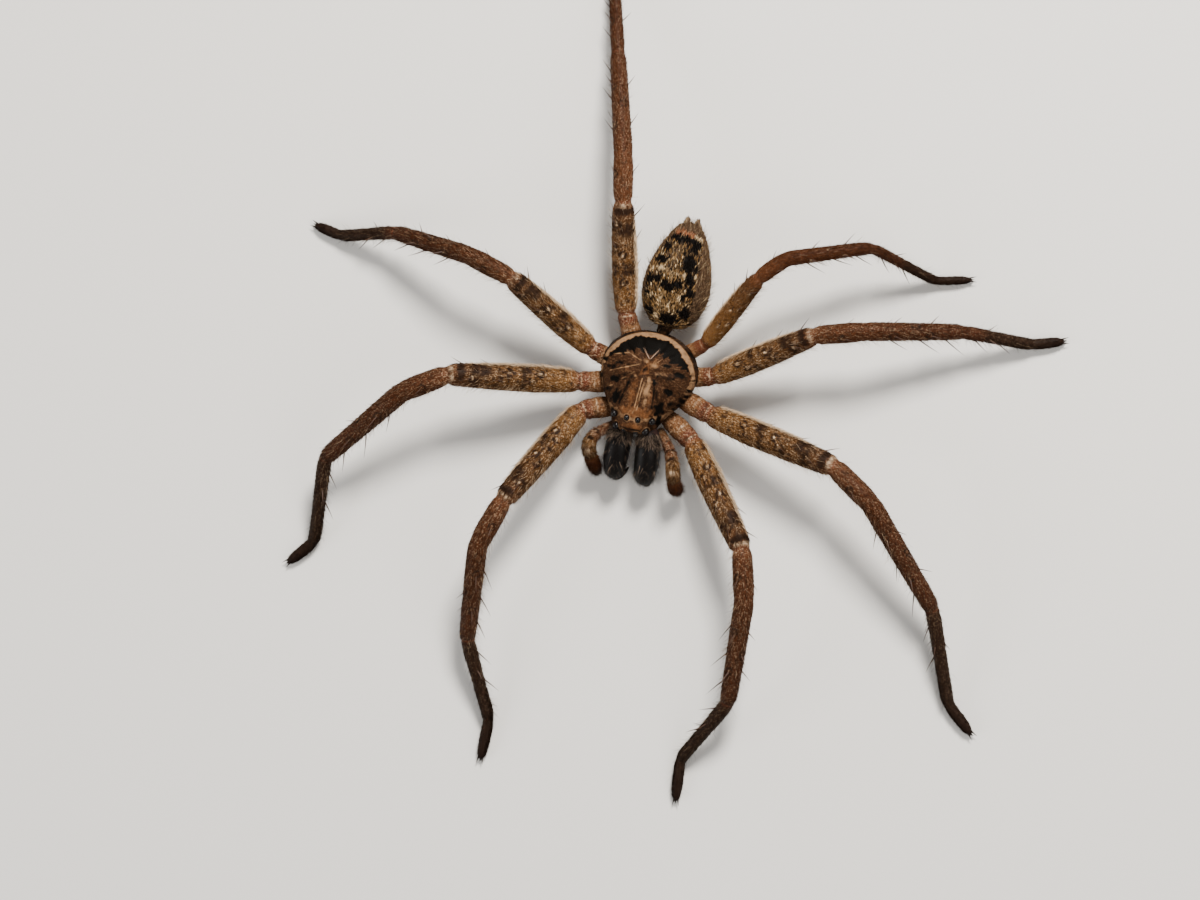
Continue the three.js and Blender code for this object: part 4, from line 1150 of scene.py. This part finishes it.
face = {
    "jaw": [(1.25, -4.4, 4.6), (1.45, -5.6, 4.65), (1.62, -6.9, 4.4), (1.68, -8.3, 3.8), (1.62, -9.8, 3.0),
            (1.56, -10.5, 2.6)],
    "jawHalf": [0.95, 1.2, 1.36, 1.36, 1.12, 0.7],
    "fang": [(1.9, -9.85, 2.6), (1.95, -10.15, 1.75), (1.7, -10.45, 1.05), (1.3, -10.3, 0.75),
             (0.85, -9.8, 0.65), (0.5, -9.1, 0.75)],
    "fangHalf": [0.44, 0.44, 0.42, 0.34, 0.22, 0.04],
    "feeler": {
        1: [(2.05, -4.5, 2.9), (3.0, -5.5, 3.5), (4.0, -6.5, 4.7), (4.5, -7.5, 5.2), (4.8, -8.6, 5.1),
            (4.95, -9.4, 4.5), (5.03, -9.72, 4.05), (5.13, -10.15, 3.3), (5.15, -10.4, 2.2),
            (5.13, -10.55, 1.2)],
        -1: [(2.05, -4.5, 2.9), (3.0, -5.4, 3.5), (3.95, -6.1, 4.7), (4.55, -7.0, 5.2), (4.6, -7.9, 4.8),
             (4.4, -8.6, 4.2), (4.32, -8.84, 3.86), (4.0, -9.4, 3.2), (3.75, -10.0, 2.2),
             (3.65, -10.4, 1.2)],
    },
    "feelerHalf": [0.5, 0.5, 0.6, 0.7, 0.78, 0.74, 0.66, 0.74, 0.66, 0.34],
    "feelerCreases": ((0.3, 0.2, 0.015), (0.43, 0.1, 0.012), (0.655, 0.16, 0.014)),
    "maxilla": [(1.5, -2.2, 2.5), (1.35, -3.4, 2.45), (1.05, -4.6, 2.7)],
    "maxillaHalf": [0.7, 0.85, 0.5],
    "lip": [(0, -1.8, 2.3), (0, -2.9, 2.3), (0, -3.7, 2.6)],
    "lipHalf": [0.65, 0.56, 0.42],
    # places along a feeler and the places on a leg whose colours they take: tan, then darker to the tip
    "feelerColours": ([0, 0.3, 0.6, 0.68, 0.8, 1.0], [0.6, 0.9, 1.3, 2.2, 3.9, 4.6]),
    # marks of a feeler: strength, place, width, and the cosines from the top between which they fade in
    "feelerDark": ((0.9, 0.42, 0.018, (0.6, 0.9)), (0.6, 0.33, 0.02, None), (0.5, 0.6, 0.02, None)),
    "feelerPale": ((0.9, 0.535, 0.013, (0.86, 0.97)),),
    "feelerWarm": ((0.7, 0.3, 0.02, None),),
    "feelerPlain": ((0.25, 0.6), (0.8, 0.64)),      # pale and speckles on its first part, and up to where
    "jawWarm": (0.4, (0.25, 0.1)),                  # strength, and where it ends along the jaw
}


def mirrored(points, side):
    return [(x * side, y, z) for x, y, z in points]


def feelerMarks(u, v, point):
    above = np.cos(2 * np.pi * v)

    def rings(kind):
        return sum(strength * bump(u - at, width) * (ramp(above, *top) if top else 1)
                   for strength, at, width, top in face[kind])

    (paleShare, paleTo), (speckleShare, speckleTo) = face["feelerPlain"]
    pale = paleShare * (u < paleTo) + rings("feelerPale")
    speckle = speckleShare * (u < speckleTo)
    marks = np.stack([rings("feelerDark"), pale, rings("feelerWarm"), speckle], axis=-1)
    return marks, np.interp(u, *face["feelerColours"])


def jawMarks(u, v, point):
    none = np.zeros_like(u)
    strength, ends = face["jawWarm"]
    return np.stack([none, none, strength * ramp(u, *ends), none], axis=-1), none


# Hair. Each hair is a thin solid blade with its root in the skin, lying along the form.

spike = {        # corners as (across, out, along), and faces, of a straight hair and of a bent one
    "straight": (((-0.5, -0.2, 0), (0.5, -0.2, 0), (0, 0.5, 0), (0, 0, 1)),
                 ((0, 1, 3), (1, 2, 3), (2, 0, 3), (0, 2, 1))),
    "bent": (((-0.5, -0.2, 0), (0.5, -0.2, 0), (0, 0.5, 0), (-0.36, -0.15, 0.5), (0.36, -0.15, 0.5),
              (0, 0.36, 0.5), (0, 0, 1)),
             ((0, 1, 4), (0, 4, 3), (1, 2, 5), (1, 5, 4), (2, 0, 3), (2, 3, 5), (3, 4, 6), (4, 5, 6),
              (5, 3, 6), (0, 2, 1))),
}
patch = ((-0.0015, -0.0015), (0.0015, -0.0015), (0, 0.0015), (0, 0))    # a hair's corners on the texture map
hairShape = {
    "strayLift": 0.35, "leastLift": 3, "mostLift": 88,
    "strayWidth": (0.7, 1.3),
    "rooted": 0.02,                 # how deep in the skin a hair begins
    "droop": 0.25,                  # how far its tip comes down again, as a share of its length
    "clear": 0.01,                  # how far inside the solids' box it stays
}
faint = 1e-6                        # a weight that keeps a chance of hair everywhere


def hairStyle(count, length, width, lift, sway, kind="bent"):
    # length from and to; lift and sway in degrees
    return {"count": count, "length": length, "width": width, "lift": lift, "sway": sway, "kind": kind}


def scatter(form, count, rng, weight=None, cells=(220, 36)):
    # places spread evenly over the form's area, times a weight
    rows, columns = ((np.arange(number) + 0.5) / number for number in cells)
    u, v = (grid.ravel() for grid in np.meshgrid(rows, columns, indexing="ij"))
    du, dv = 0.5 / cells[0], 0.5 / cells[1]
    alongEdge = form["at"](u + du, v) - form["at"](u - du, v)
    roundEdge = form["at"](u, v + dv) - form["at"](u, v - dv)
    area = np.linalg.norm(np.cross(alongEdge, roundEdge), axis=-1)
    if weight is not None:
        area = area * weight(u, v, form["at"](u, v))
    chosen = rng.choice(len(u), count, p=area / area.sum())
    return u[chosen] + du * rng.uniform(-1, 1, count), v[chosen] + dv * rng.uniform(-1, 1, count)


def growHair(form, plainStyle, seed, **differs):
    # a style may also say where hair grows, its scale, rise and tint, and which way it lies
    style = {**plainStyle, **differs}
    rng = np.random.default_rng(seed)
    count = style["count"]
    u, v = scatter(form, count, rng, style.get("where"))
    point, along, around, outward = surfaceFrame(form, u, v)
    layers = layersAt(form, u, v, point)
    sway = np.radians(rng.normal(0, style["sway"], count))[:, None]
    lift = style["lift"] * (style["rise"](u) if "rise" in style else 1)
    lift = lift * rng.normal(1, hairShape["strayLift"], count)
    lift = np.radians(np.clip(lift, hairShape["leastLift"], hairShape["mostLift"]))[:, None]
    lie = np.cos(sway) * along + np.sin(sway) * around
    if "lie" in style:
        lie = style["lie"](lie, point, along)
        lie = unit(lie - outward * np.sum(lie * outward, axis=-1, keepdims=True))
    direction = np.cos(lift) * lie + np.sin(lift) * outward
    length = rng.uniform(*style["length"], count)[:, None]
    if "scale" in style:
        length = length * style["scale"](u, v, point)[:, None]
    width = style["width"] * rng.uniform(*hairShape["strayWidth"], count)[:, None]
    across = unit(np.cross(direction, outward))
    over = np.cross(across, direction)
    corners, faces = spike[style["kind"]]
    root = point - hairShape["rooted"] * outward
    droop = length * hairShape["droop"] * np.sin(lift)
    points = np.stack([
        root + across * side * width + over * out * width + direction * forward * length
        - outward * (forward * forward * droop)
        for side, out, forward in corners
    ], axis=1)
    strand = rng.uniform(0, 1, count)
    if "tint" in style:
        layers["marks"] = style["tint"](layers["marks"].copy(), rng, layers["along"])
    return {"points": points, "faces": faces, "uv": np.stack([u, v % 1], axis=1), "strand": strand, **layers}


def coatPiece(name, tufts, paint):
    # one mesh of many hairs; those that would leave the solids' box are left out
    lowest, highest = (np.array(corner) / mm for corner in cadBounds)
    lowest, highest = lowest + hairShape["clear"], highest - hairShape["clear"]
    positions, triangles, uvs = [], [], []
    layers = {"place": [], "marks": [], "along": [], "strand": []}
    offset = 0
    for tuft in tufts:
        inside = ((tuft["points"] > lowest) & (tuft["points"] < highest)).all(axis=(1, 2))
        points = tuft["points"][inside]
        count, corners = points.shape[:2]
        faces = np.array(tuft["faces"])
        positions.append(points.reshape(-1, 3))
        triangles.append((offset + np.arange(count)[:, None, None] * corners + faces[None]).reshape(-1, 3))
        offset += count * corners
        shift = np.array([patch[k % 4] for k in range(corners)])
        left, low, wide, tall = mapCell("whole")
        place = np.array([left, low]) + np.array([wide, tall]) * tuft["uv"][inside]
        cornerUv = place[:, None, :] + shift[None]
        uvs.append(cornerUv[:, faces.ravel(), :].reshape(-1, 2))
        for key in layers:
            layers[key].append(np.repeat(tuft[key][inside], corners, axis=0))
    positions = np.concatenate(positions) * mm
    triangles = np.concatenate(triangles)
    mesh = bpy.data.meshes.new(name)
    mesh.vertices.add(len(positions))
    mesh.vertices.foreach_set("co", positions.astype(np.float32).ravel())
    mesh.loops.add(len(triangles) * 3)
    mesh.loops.foreach_set("vertex_index", triangles.astype(np.int32).ravel())
    mesh.polygons.add(len(triangles))
    mesh.polygons.foreach_set("loop_start", np.arange(0, len(triangles) * 3, 3, dtype=np.int32))
    mesh.polygons.foreach_set("use_smooth", np.ones(len(triangles), bool))
    mesh.update(calc_edges=True)
    layer = mesh.uv_layers.new(name="OFBake")
    layer.data.foreach_set("uv", np.concatenate(uvs).astype(np.float32).ravel())
    addLayers(mesh, {key: np.concatenate(values) for key, values in layers.items()})
    mesh.materials.append(paints[paint])
    print("coat", name, len(triangles), "triangles")
    return placeMesh(name, mesh)


# The skin: one piece over every node of flesh

legForms = {name: legForm(name) for name in stance}
bodyForm = shieldForm()
bellyForm = abdomenForm()
waist = {
    "line": [(0.3, abdomen["start"] - 0.9, 4.4), (0.7, abdomen["start"] + 0.6, 4.5)],
    "half": [0.6, 0.9],
}
waistForm = lineForm(waist["line"], waist["half"], evenMarks(dark=0.5, speckle=0.3), mapCell("waist"))
spinneretForms = []
rear = abdomen["start"] + abdomen["length"]
for across, back, height, long, half in abdomen["spinnerets"]:
    for side in (-1, 1):
        start = np.array([abdomen["shift"] + side * across, rear - back, height])
        out, ahead, up = abdomen["spinneretWay"]
        way = np.array([out * side, ahead, up])
        places, shares = abdomen["spinneretTaper"]
        spinneretForms.append(lineForm(
            [start + long * share * way for share in places], [half * share for share in shares],
            evenMarks(pale=0.3, speckle=0.3), mapCell("spinneret", len(spinneretForms)), inset=0.04,
        ))
feelerForms = {}
mouthForms = []
for number, side in enumerate((1, -1)):
    feelerForms[side] = lineForm(mirrored(face["feeler"][side], side), face["feelerHalf"], feelerMarks,
                                 mapCell("feeler", number), inset=body["coat"],
                                 creases=face["feelerCreases"])
    mouthForms.append(lineForm(mirrored(face["maxilla"], side), face["maxillaHalf"],
                               evenMarks(warm=0.36, speckle=0.4), mapCell("maxilla", number), inset=0.05))
lipMarks = evenMarks(dark=0.2, warm=0.36, speckle=0.4)
mouthForms.append(lineForm(face["lip"], face["lipHalf"], lipMarks, mapCell("lip"), inset=0.05))

fleshNodes = ["cephalothorax", "abdomen"]
fleshNodes += [f"{part}_{name}" for name in stance for part in segments if part != "patella"]
fleshNodes += [f"{part}_{side}" for side in ("left", "right") for part in ("pedipalp", "pedipalp_tarsus")]
skinParts = [(form, form["steps"], legShape["around"], "legSkin") for form in legForms.values()]
for kind, forms, paint in (
    ("feeler", feelerForms.values(), "legSkin"), ("shield", [bodyForm], "carapaceSkin"),
    ("abdomen", [bellyForm], "abdomenSkin"), ("waist", [waistForm], "carapaceSkin"),
    ("spinneret", spinneretForms, "abdomenSkin"), ("mouth", mouthForms, "carapaceSkin"),
):
    skinParts += [(form, *formSteps[kind], paint) for form in forms]
skin = joinForms("skin", skinParts, fleshNodes)
print("skin:", len(skin.data.polygons), "faces")


# Jaws and fangs

jawForms = {}
for side, word in ((1, "left"), (-1, "right")):
    jawForms[side] = lineForm(mirrored(face["jaw"], side), face["jawHalf"], jawMarks, inset=0.03, closed=0.5)
    joinForms(f"jaw_{word}", [(jawForms[side], *formSteps["jaw"], "jawSkin")], [f"chelicera_{word}"])
    fangForm = lineForm(mirrored(face["fang"], side), face["fangHalf"], evenMarks(), closed=0.12)
    joinForms(f"fang_{word}_horn", [(fangForm, *formSteps["fang"], "clawHorn")], [f"fang_{word}"])
print("jaws and fangs are made")


# Eyes: glossy black lenses, each in its node's place

lensSteps = (32, 20)                # round it, and from pole to pole
for name, (middle, radius) in eyes.items():
    bm = bmesh.new()
    bmesh.ops.create_uvsphere(bm, u_segments=lensSteps[0], v_segments=lensSteps[1], radius=radius * mm)
    bmesh.ops.translate(bm, verts=bm.verts, vec=toWorld(middle) * mm)
    for polygon in bm.faces:
        polygon.smooth = True
    mesh = meshFrom(f"lens_{name}", bm)
    mesh.materials.append(paints["eyeLens"])
    placeMesh(mesh.name, mesh, [f"eye_{name}"])
print("eyes are set:", len(eyes))


# Spines, claws and the two pale bristles

upright = np.array([0, 0, 1.0])
needleEnd = 0.06                    # how blunt a needle's tip is
bristle = {
    "root": (0.12, 2.45, 7.1), "tips": ((-0.75, 3.6, 7.7), (0.85, 3.75, 7.7)), "forks": (-0.09, 0.0, 0.08),
    "half": 0.035, "curve": 0.12,
}
claw = {
    "length": 0.75, "half": 0.1, "apart": 0.34, "curve": 0.35, "height": 0.62, "back": 0.25,
    "spread": 0.18, "rise": 0.1,
}


def needlePiece(name, needles, paint, sides=8, steps=8):
    # slender curved cones: (root, direction, outward, length, half thickness, curve)
    bm = bmesh.new()
    bmesh.ops.create_cone(bm, segments=sides, radius1=1, radius2=needleEnd, depth=1, cap_ends=True)
    lengthwise = [edge for edge in bm.edges if abs(edge.verts[0].co.z - edge.verts[1].co.z) > 0.5]
    bmesh.ops.subdivide_edges(bm, edges=lengthwise, cuts=steps - 1, use_grid_fill=True)
    bm.verts.index_update()
    x, y, share = ((np.array([vert.co for vert in bm.verts]) + np.array([0, 0, 0.5])).T)[:, :, None]
    template = [[vert.index for vert in polygon.verts] for polygon in bm.faces]
    bm.free()
    points, faces = [], []
    for number, (root, direction, outward, length, half, curve) in enumerate(needles):
        across = unit(np.cross(direction, outward))
        over = np.cross(across, direction)
        faces += [[index + number * len(share) for index in polygon] for polygon in template]
        bent = over * (y * half - curve * length * share ** 2)
        points.append(root + across * x * half + bent + direction * length * share)
    mesh = bpy.data.meshes.new(name)
    mesh.from_pydata((np.concatenate(points) * mm).tolist(), [], faces)
    mesh.polygons.foreach_set("use_smooth", [True] * len(faces))
    mesh.update()
    mesh.materials.append(paints[paint])
    return placeMesh(name, mesh)


needles = []
for form in legForms.values():
    needles += [(root - spine["sunk"] * outward, direction, outward, length, spine["thick"], spine["curve"])
                for root, direction, outward, length in form["spines"]]
needlePiece("spines", needles, "spineHorn")

bristles = []
root = np.array(bristle["root"])
for tip in bristle["tips"]:
    for fork in bristle["forks"]:
        reach = np.array(tip) + np.array([fork, -abs(fork), 0]) - root
        reach[0] += shield["lean"] * reach[1]
        direction = reach @ bodyAxes
        length = np.linalg.norm(direction)
        direction = direction / length
        bristles.append((toWorld(root), direction, upright, length, bristle["half"], bristle["curve"]))
needlePiece("bristles", bristles, "bristleHorn", sides=5)

hooks = []
for form in legForms.values():
    tip = form["joints"][6]
    ahead = unit((tip - form["joints"][5]) * np.array([1, 1, 0]))
    across = np.array([-ahead[1], ahead[0], 0])
    apart = legShape["half"]["tarsus"] * form["leg"]["build"]["thick"] * claw["apart"]
    for side in (-1, 1):
        root = tip - claw["back"] * ahead + side * apart * across
        root[2] = claw["height"]
        direction = unit(ahead + claw["spread"] * side * across + claw["rise"] * upright)
        hooks.append((root, direction, upright, claw["length"], claw["half"], claw["curve"]))
needlePiece("claws", hooks, "clawHorn")
print("spines:", len(needles), "claws:", len(hooks))


# Coat of the legs: short hair lying towards the tip, longer fringes below, and a brush under the foot

legCoat = {
    "short": hairStyle(15000, (0.3, 0.65), 0.045, 14, 12, "straight"),
    "long": hairStyle(1300, (0.8, 1.6), 0.02, 46, 14),
    "silver": hairStyle(650, (0.5, 1.1), 0.036, 18, 12),
    "brush": hairStyle(2200, (0.25, 0.45), 0.05, 40, 10, "straight"),
    # places along the leg, then strengths or shares there
    "fringe": ([0, 1.8, 2.2, 4, 5, 6], [0.8, 0.8, 0.5, 0.42, 0.25, 0]),     # pale on the femur, then browner
    "shortLength": ([0, 1, 1.3, 4, 5, 6], [0.7, 0.6, 1.0, 0.8, 0.7, 0.55]),
    "shortRise": ([0, 3, 4, 6], [1, 1.2, 2.0, 2.0]),
    "fringePale": 0.6,              # the share of long hairs that is pale
    "fringeWarm": 0.2,              # the share of warm and speckle that they keep
    "onSides": 0.15,                # how thinly long hairs grow above
    "longBelow": (-0.2, 0.7), "brushBelow": (-0.3, 0.6),    # how far round from below each kind begins
    "coxaShare": 0.3, "tarsusShare": 0.2,                   # how thinly long hairs grow on the two ends
    "brushFrom": (4.3, 5.1),
}


def fringeTint(marks, rng, along):
    pale = np.interp(along, *legCoat["fringe"])
    marks[:, 1] = np.where(rng.uniform(0, 1, len(along)) < legCoat["fringePale"], pale, 0)
    marks[:, 0] = 0
    marks[:, 2:] *= legCoat["fringeWarm"]
    return marks


def silverTint(marks, rng, along):
    marks[:] = (0, 1, 0, 0)
    return marks


def legTufts(form):
    number = form["number"]

    def below(v, kind):
        return ramp(-np.cos(2 * np.pi * v), *legCoat[kind])

    def longHair(u, v, point):
        s = form["segment"](u)
        ends = np.where(s < 1, legCoat["coxaShare"], 1) * np.where(s > 5, legCoat["tarsusShare"], 1)
        return (legCoat["onSides"] + below(v, "longBelow")) * ends

    def brushHair(u, v, point):
        return ramp(form["segment"](u), *legCoat["brushFrom"]) * below(v, "brushBelow")

    def silverHair(u, v, point):
        return femurLine("silver", form["leg"], form["segment"](u), v)[0] + faint

    def shorter(u, v, point):
        return np.interp(form["segment"](u), *legCoat["shortLength"])

    def furrier(u):
        return np.interp(form["segment"](u), *legCoat["shortRise"])

    return [
        growHair(form, legCoat["short"], 10 + number, scale=shorter, rise=furrier),
        growHair(form, legCoat["silver"], 130 + number, where=silverHair, tint=silverTint),
        growHair(form, legCoat["long"], 30 + number, where=longHair, tint=fringeTint),
        growHair(form, legCoat["brush"], 50 + number, where=brushHair),
    ]


for name, form in legForms.items():
    coatPiece(f"coat_leg_{name}", legTufts(form), "legHair")


# Coat of the body, feelers and jaws

bodyCoat = {
    "short": hairStyle(26000, (0.14, 0.3), 0.036, 9, 22, "straight"),
    "belly": hairStyle(15000, (0.28, 0.6), 0.055, 20, 12),
    "spinneret": hairStyle(120, (0.2, 0.35), 0.055, 20, 12),
    "scales": hairStyle(1500, (0.4, 0.65), 0.13, 26, 14),
    "flank": hairStyle(1300, (0.8, 1.5), 0.03, 42, 22),
    "feeler": hairStyle(5000, (0.3, 0.65), 0.036, 28, 16, "straight"),
    "feelerBrush": hairStyle(500, (0.6, 1.1), 0.025, 45, 20),
    "ruff": hairStyle(650, (0.5, 1.0), 0.03, 40, 26),
    "fuzz": hairStyle(900, (0.3, 0.8), 0.022, 36, 26),
    "breast": hairStyle(2200, (0.35, 0.75), 0.03, 34, 24),
    "mouth": hairStyle(200, (0.3, 0.6), 0.024, 34, 20),
    "whisker": hairStyle(4, (1.1, 1.5), 0.026, 30, 16),
    "headFrom": -2.5,               # in front of this y, hair lies straight to the front
    "swirl": 0.25,                  # how much of a hair's own sway stays
    "under": (0.3, 0.35),           # how far below the rim hair is thinner, and its share there
    "eyeClear": 0.14,               # how far from each eye hair begins
    "breastFrom": (0.6, 1.4),       # depths below the rim between which the breast's hair begins
    "flankPale": (0.32, (0.4, 0.8)),        # share of the hairs that is pale, how pale from and to
    "backFrom": (4.8, 6.2),         # heights between which the back's scales begin
    "flanksOver": 1.02,             # the flanks' hair grows where this is more than the share of scales
    "feelerEnd": (0.6, 0.8),
    "jawBase": ((-6.7, -6.1), (-5.2, -4.9)),    # y where the ruff begins and ends
    "jawTop": (-0.3, 0.5),
    "jawEnd": (0.35, (8.4, 9.6)),   # how thinly the fuzz grows behind, and how far in front it is whole
    "jawFront": (-8.9, 0.6, 0.3),   # where the whiskers stand: y, width, least cosine from the top
}
# what a scale takes: marks that count as dark and pale, shares of the plain ones that turn dark, golden and
# pale, and how strong each becomes
scaleTint = {"isDark": 0.62, "isPale": 0.5, "dark": 0.34, "golden": 0.86, "pale": 0.94,
             "paleTo": 0.9, "goldenPale": 0.25, "goldenWarm": 0.8, "darkHides": 0.9}


def fromFovea(lie, point, along):
    # away from the fovea, and straight to the front on the head
    place = toBody(point)
    away = place - np.array([0, shield["fovea"], place[:, 2].mean()])
    away[:, 2] = 0
    isHead = place[:, 1:2] < bodyCoat["headFrom"]
    away = np.where(isHead, np.array([0, -1.0, 0]), unit(away))
    sideways = lie - along * np.sum(lie * along, axis=-1, keepdims=True)
    return unit(away) @ bodyAxes + bodyCoat["swirl"] * sideways


def exposed(u, v, point):
    # evenly over the shield, thinner beneath it, and none on the eyes
    place = toBody(point)
    depth, share = bodyCoat["under"]
    density = np.where(place[:, 2] > shield["rim"] - depth, 1.0, share)
    for middle, radius in eyes.values():
        density = density * (np.linalg.norm(place - middle, axis=-1) > radius + bodyCoat["eyeClear"])
    return density


def breast(u, v, point):
    return ramp(shield["rim"] - toBody(point)[:, 2], *bodyCoat["breastFrom"]) + faint


def flankTint(marks, rng, along):
    count = len(along)
    share, pale = bodyCoat["flankPale"]
    marks[:, 0] = 0
    marks[:, 1] = np.where(rng.uniform(0, 1, count) < share, rng.uniform(*pale, count), 0)
    marks[:, 2:] = 0
    return marks


tufts = [growHair(bodyForm, bodyCoat["short"], 70, lie=fromFovea, where=exposed)]
tufts += [growHair(bodyForm, bodyCoat["breast"], 69, where=breast, tint=flankTint)]
tufts += [growHair(form, bodyCoat["mouth"], 60 + k, tint=flankTint) for k, form in enumerate(mouthForms)]
coatPiece("coat_carapace", tufts, "carapaceHair")


def onBack(u, v, point):
    x, y, z = toBody(point).T
    return backShare(ramp(z, *bodyCoat["backFrom"]), x - abdomen["shift"], y) + faint


def flanks(u, v, point):
    return bodyCoat["flanksOver"] - onBack(u, v, point)


def tuftTint(marks, rng, along):
    # each scale takes one of the colours near it, so that the back looks dappled
    tint = scaleTint
    draw = rng.uniform(0, 1, len(along))
    dark, pale = marks[:, 0] > tint["isDark"], marks[:, 1] > tint["isPale"]
    plain = ~dark & ~pale
    marks[:, 0] = np.where(dark | (plain & (draw < tint["dark"])), 1, 0)
    golden = plain & (draw > tint["dark"]) & (draw < tint["golden"])
    lighter = np.where(golden, tint["goldenPale"], marks[:, 1])
    lighter = np.where(pale | (draw > tint["pale"]), tint["paleTo"], lighter)
    marks[:, 1] = lighter * (1 - tint["darkHides"] * marks[:, 0])
    marks[:, 2] = np.where(golden, tint["goldenWarm"], marks[:, 2])
    marks[:, 3] = 0
    return marks


tufts = [growHair(bellyForm, bodyCoat["belly"], 71)]
tufts += [growHair(bellyForm, bodyCoat["scales"], 72, where=onBack, tint=tuftTint)]
tufts += [growHair(bellyForm, bodyCoat["flank"], 73, where=flanks, tint=flankTint)]
tufts += [growHair(form, bodyCoat["spinneret"], 80 + k) for k, form in enumerate(spinneretForms)]
coatPiece("coat_abdomen", tufts, "abdomenHair")


def feelerEnd(u, v, point):
    return ramp(u, *bodyCoat["feelerEnd"])


tufts = [growHair(form, bodyCoat["feeler"], 90 + side) for side, form in feelerForms.items()]
tufts += [growHair(form, bodyCoat["feelerBrush"], 100 + side, where=feelerEnd)
          for side, form in feelerForms.items()]
coatPiece("coat_feelers", tufts, "legHair")


def jawBase(u, v, point):
    onTop = ramp(np.cos(2 * np.pi * v), *bodyCoat["jawTop"])
    return within(toBody(point)[:, 1], *bodyCoat["jawBase"]) * onTop + faint


def jawEnd(u, v, point):
    least, begins = bodyCoat["jawEnd"]
    return least + ramp(-toBody(point)[:, 1], *begins)


def jawFront(u, v, point):
    middle, width, top = bodyCoat["jawFront"]
    return bump(toBody(point)[:, 1] - middle, width) * (np.cos(2 * np.pi * v) > top) + faint


def shared(share, value):
    # a share of the hairs takes a pale value, the others stay dark
    def tint(marks, rng, along):
        count = len(along)
        marks[:] = 0
        marks[:, 1] = np.where(rng.uniform(0, 1, count) < share, value * rng.uniform(0.6, 1, count), 0)
        return marks
    return tint


jawHair = (("ruff", jawBase, shared(0.6, 0.62)), ("fuzz", jawEnd, shared(0.3, 0.4)),
           ("whisker", jawFront, shared(1, 1)))
tufts = []
for side, form in jawForms.items():
    for k, (kind, where, tint) in enumerate(jawHair):
        tufts.append(growHair(form, bodyCoat[kind], 95 + 3 * k + side, where=where, tint=tint))
coatPiece("coat_jaws", tufts, "jawHair")
print("coats are grown")


# The solids' box
print("box of the solids:", [tuple(round(value, 5) for value in corner) for corner in cadBounds])
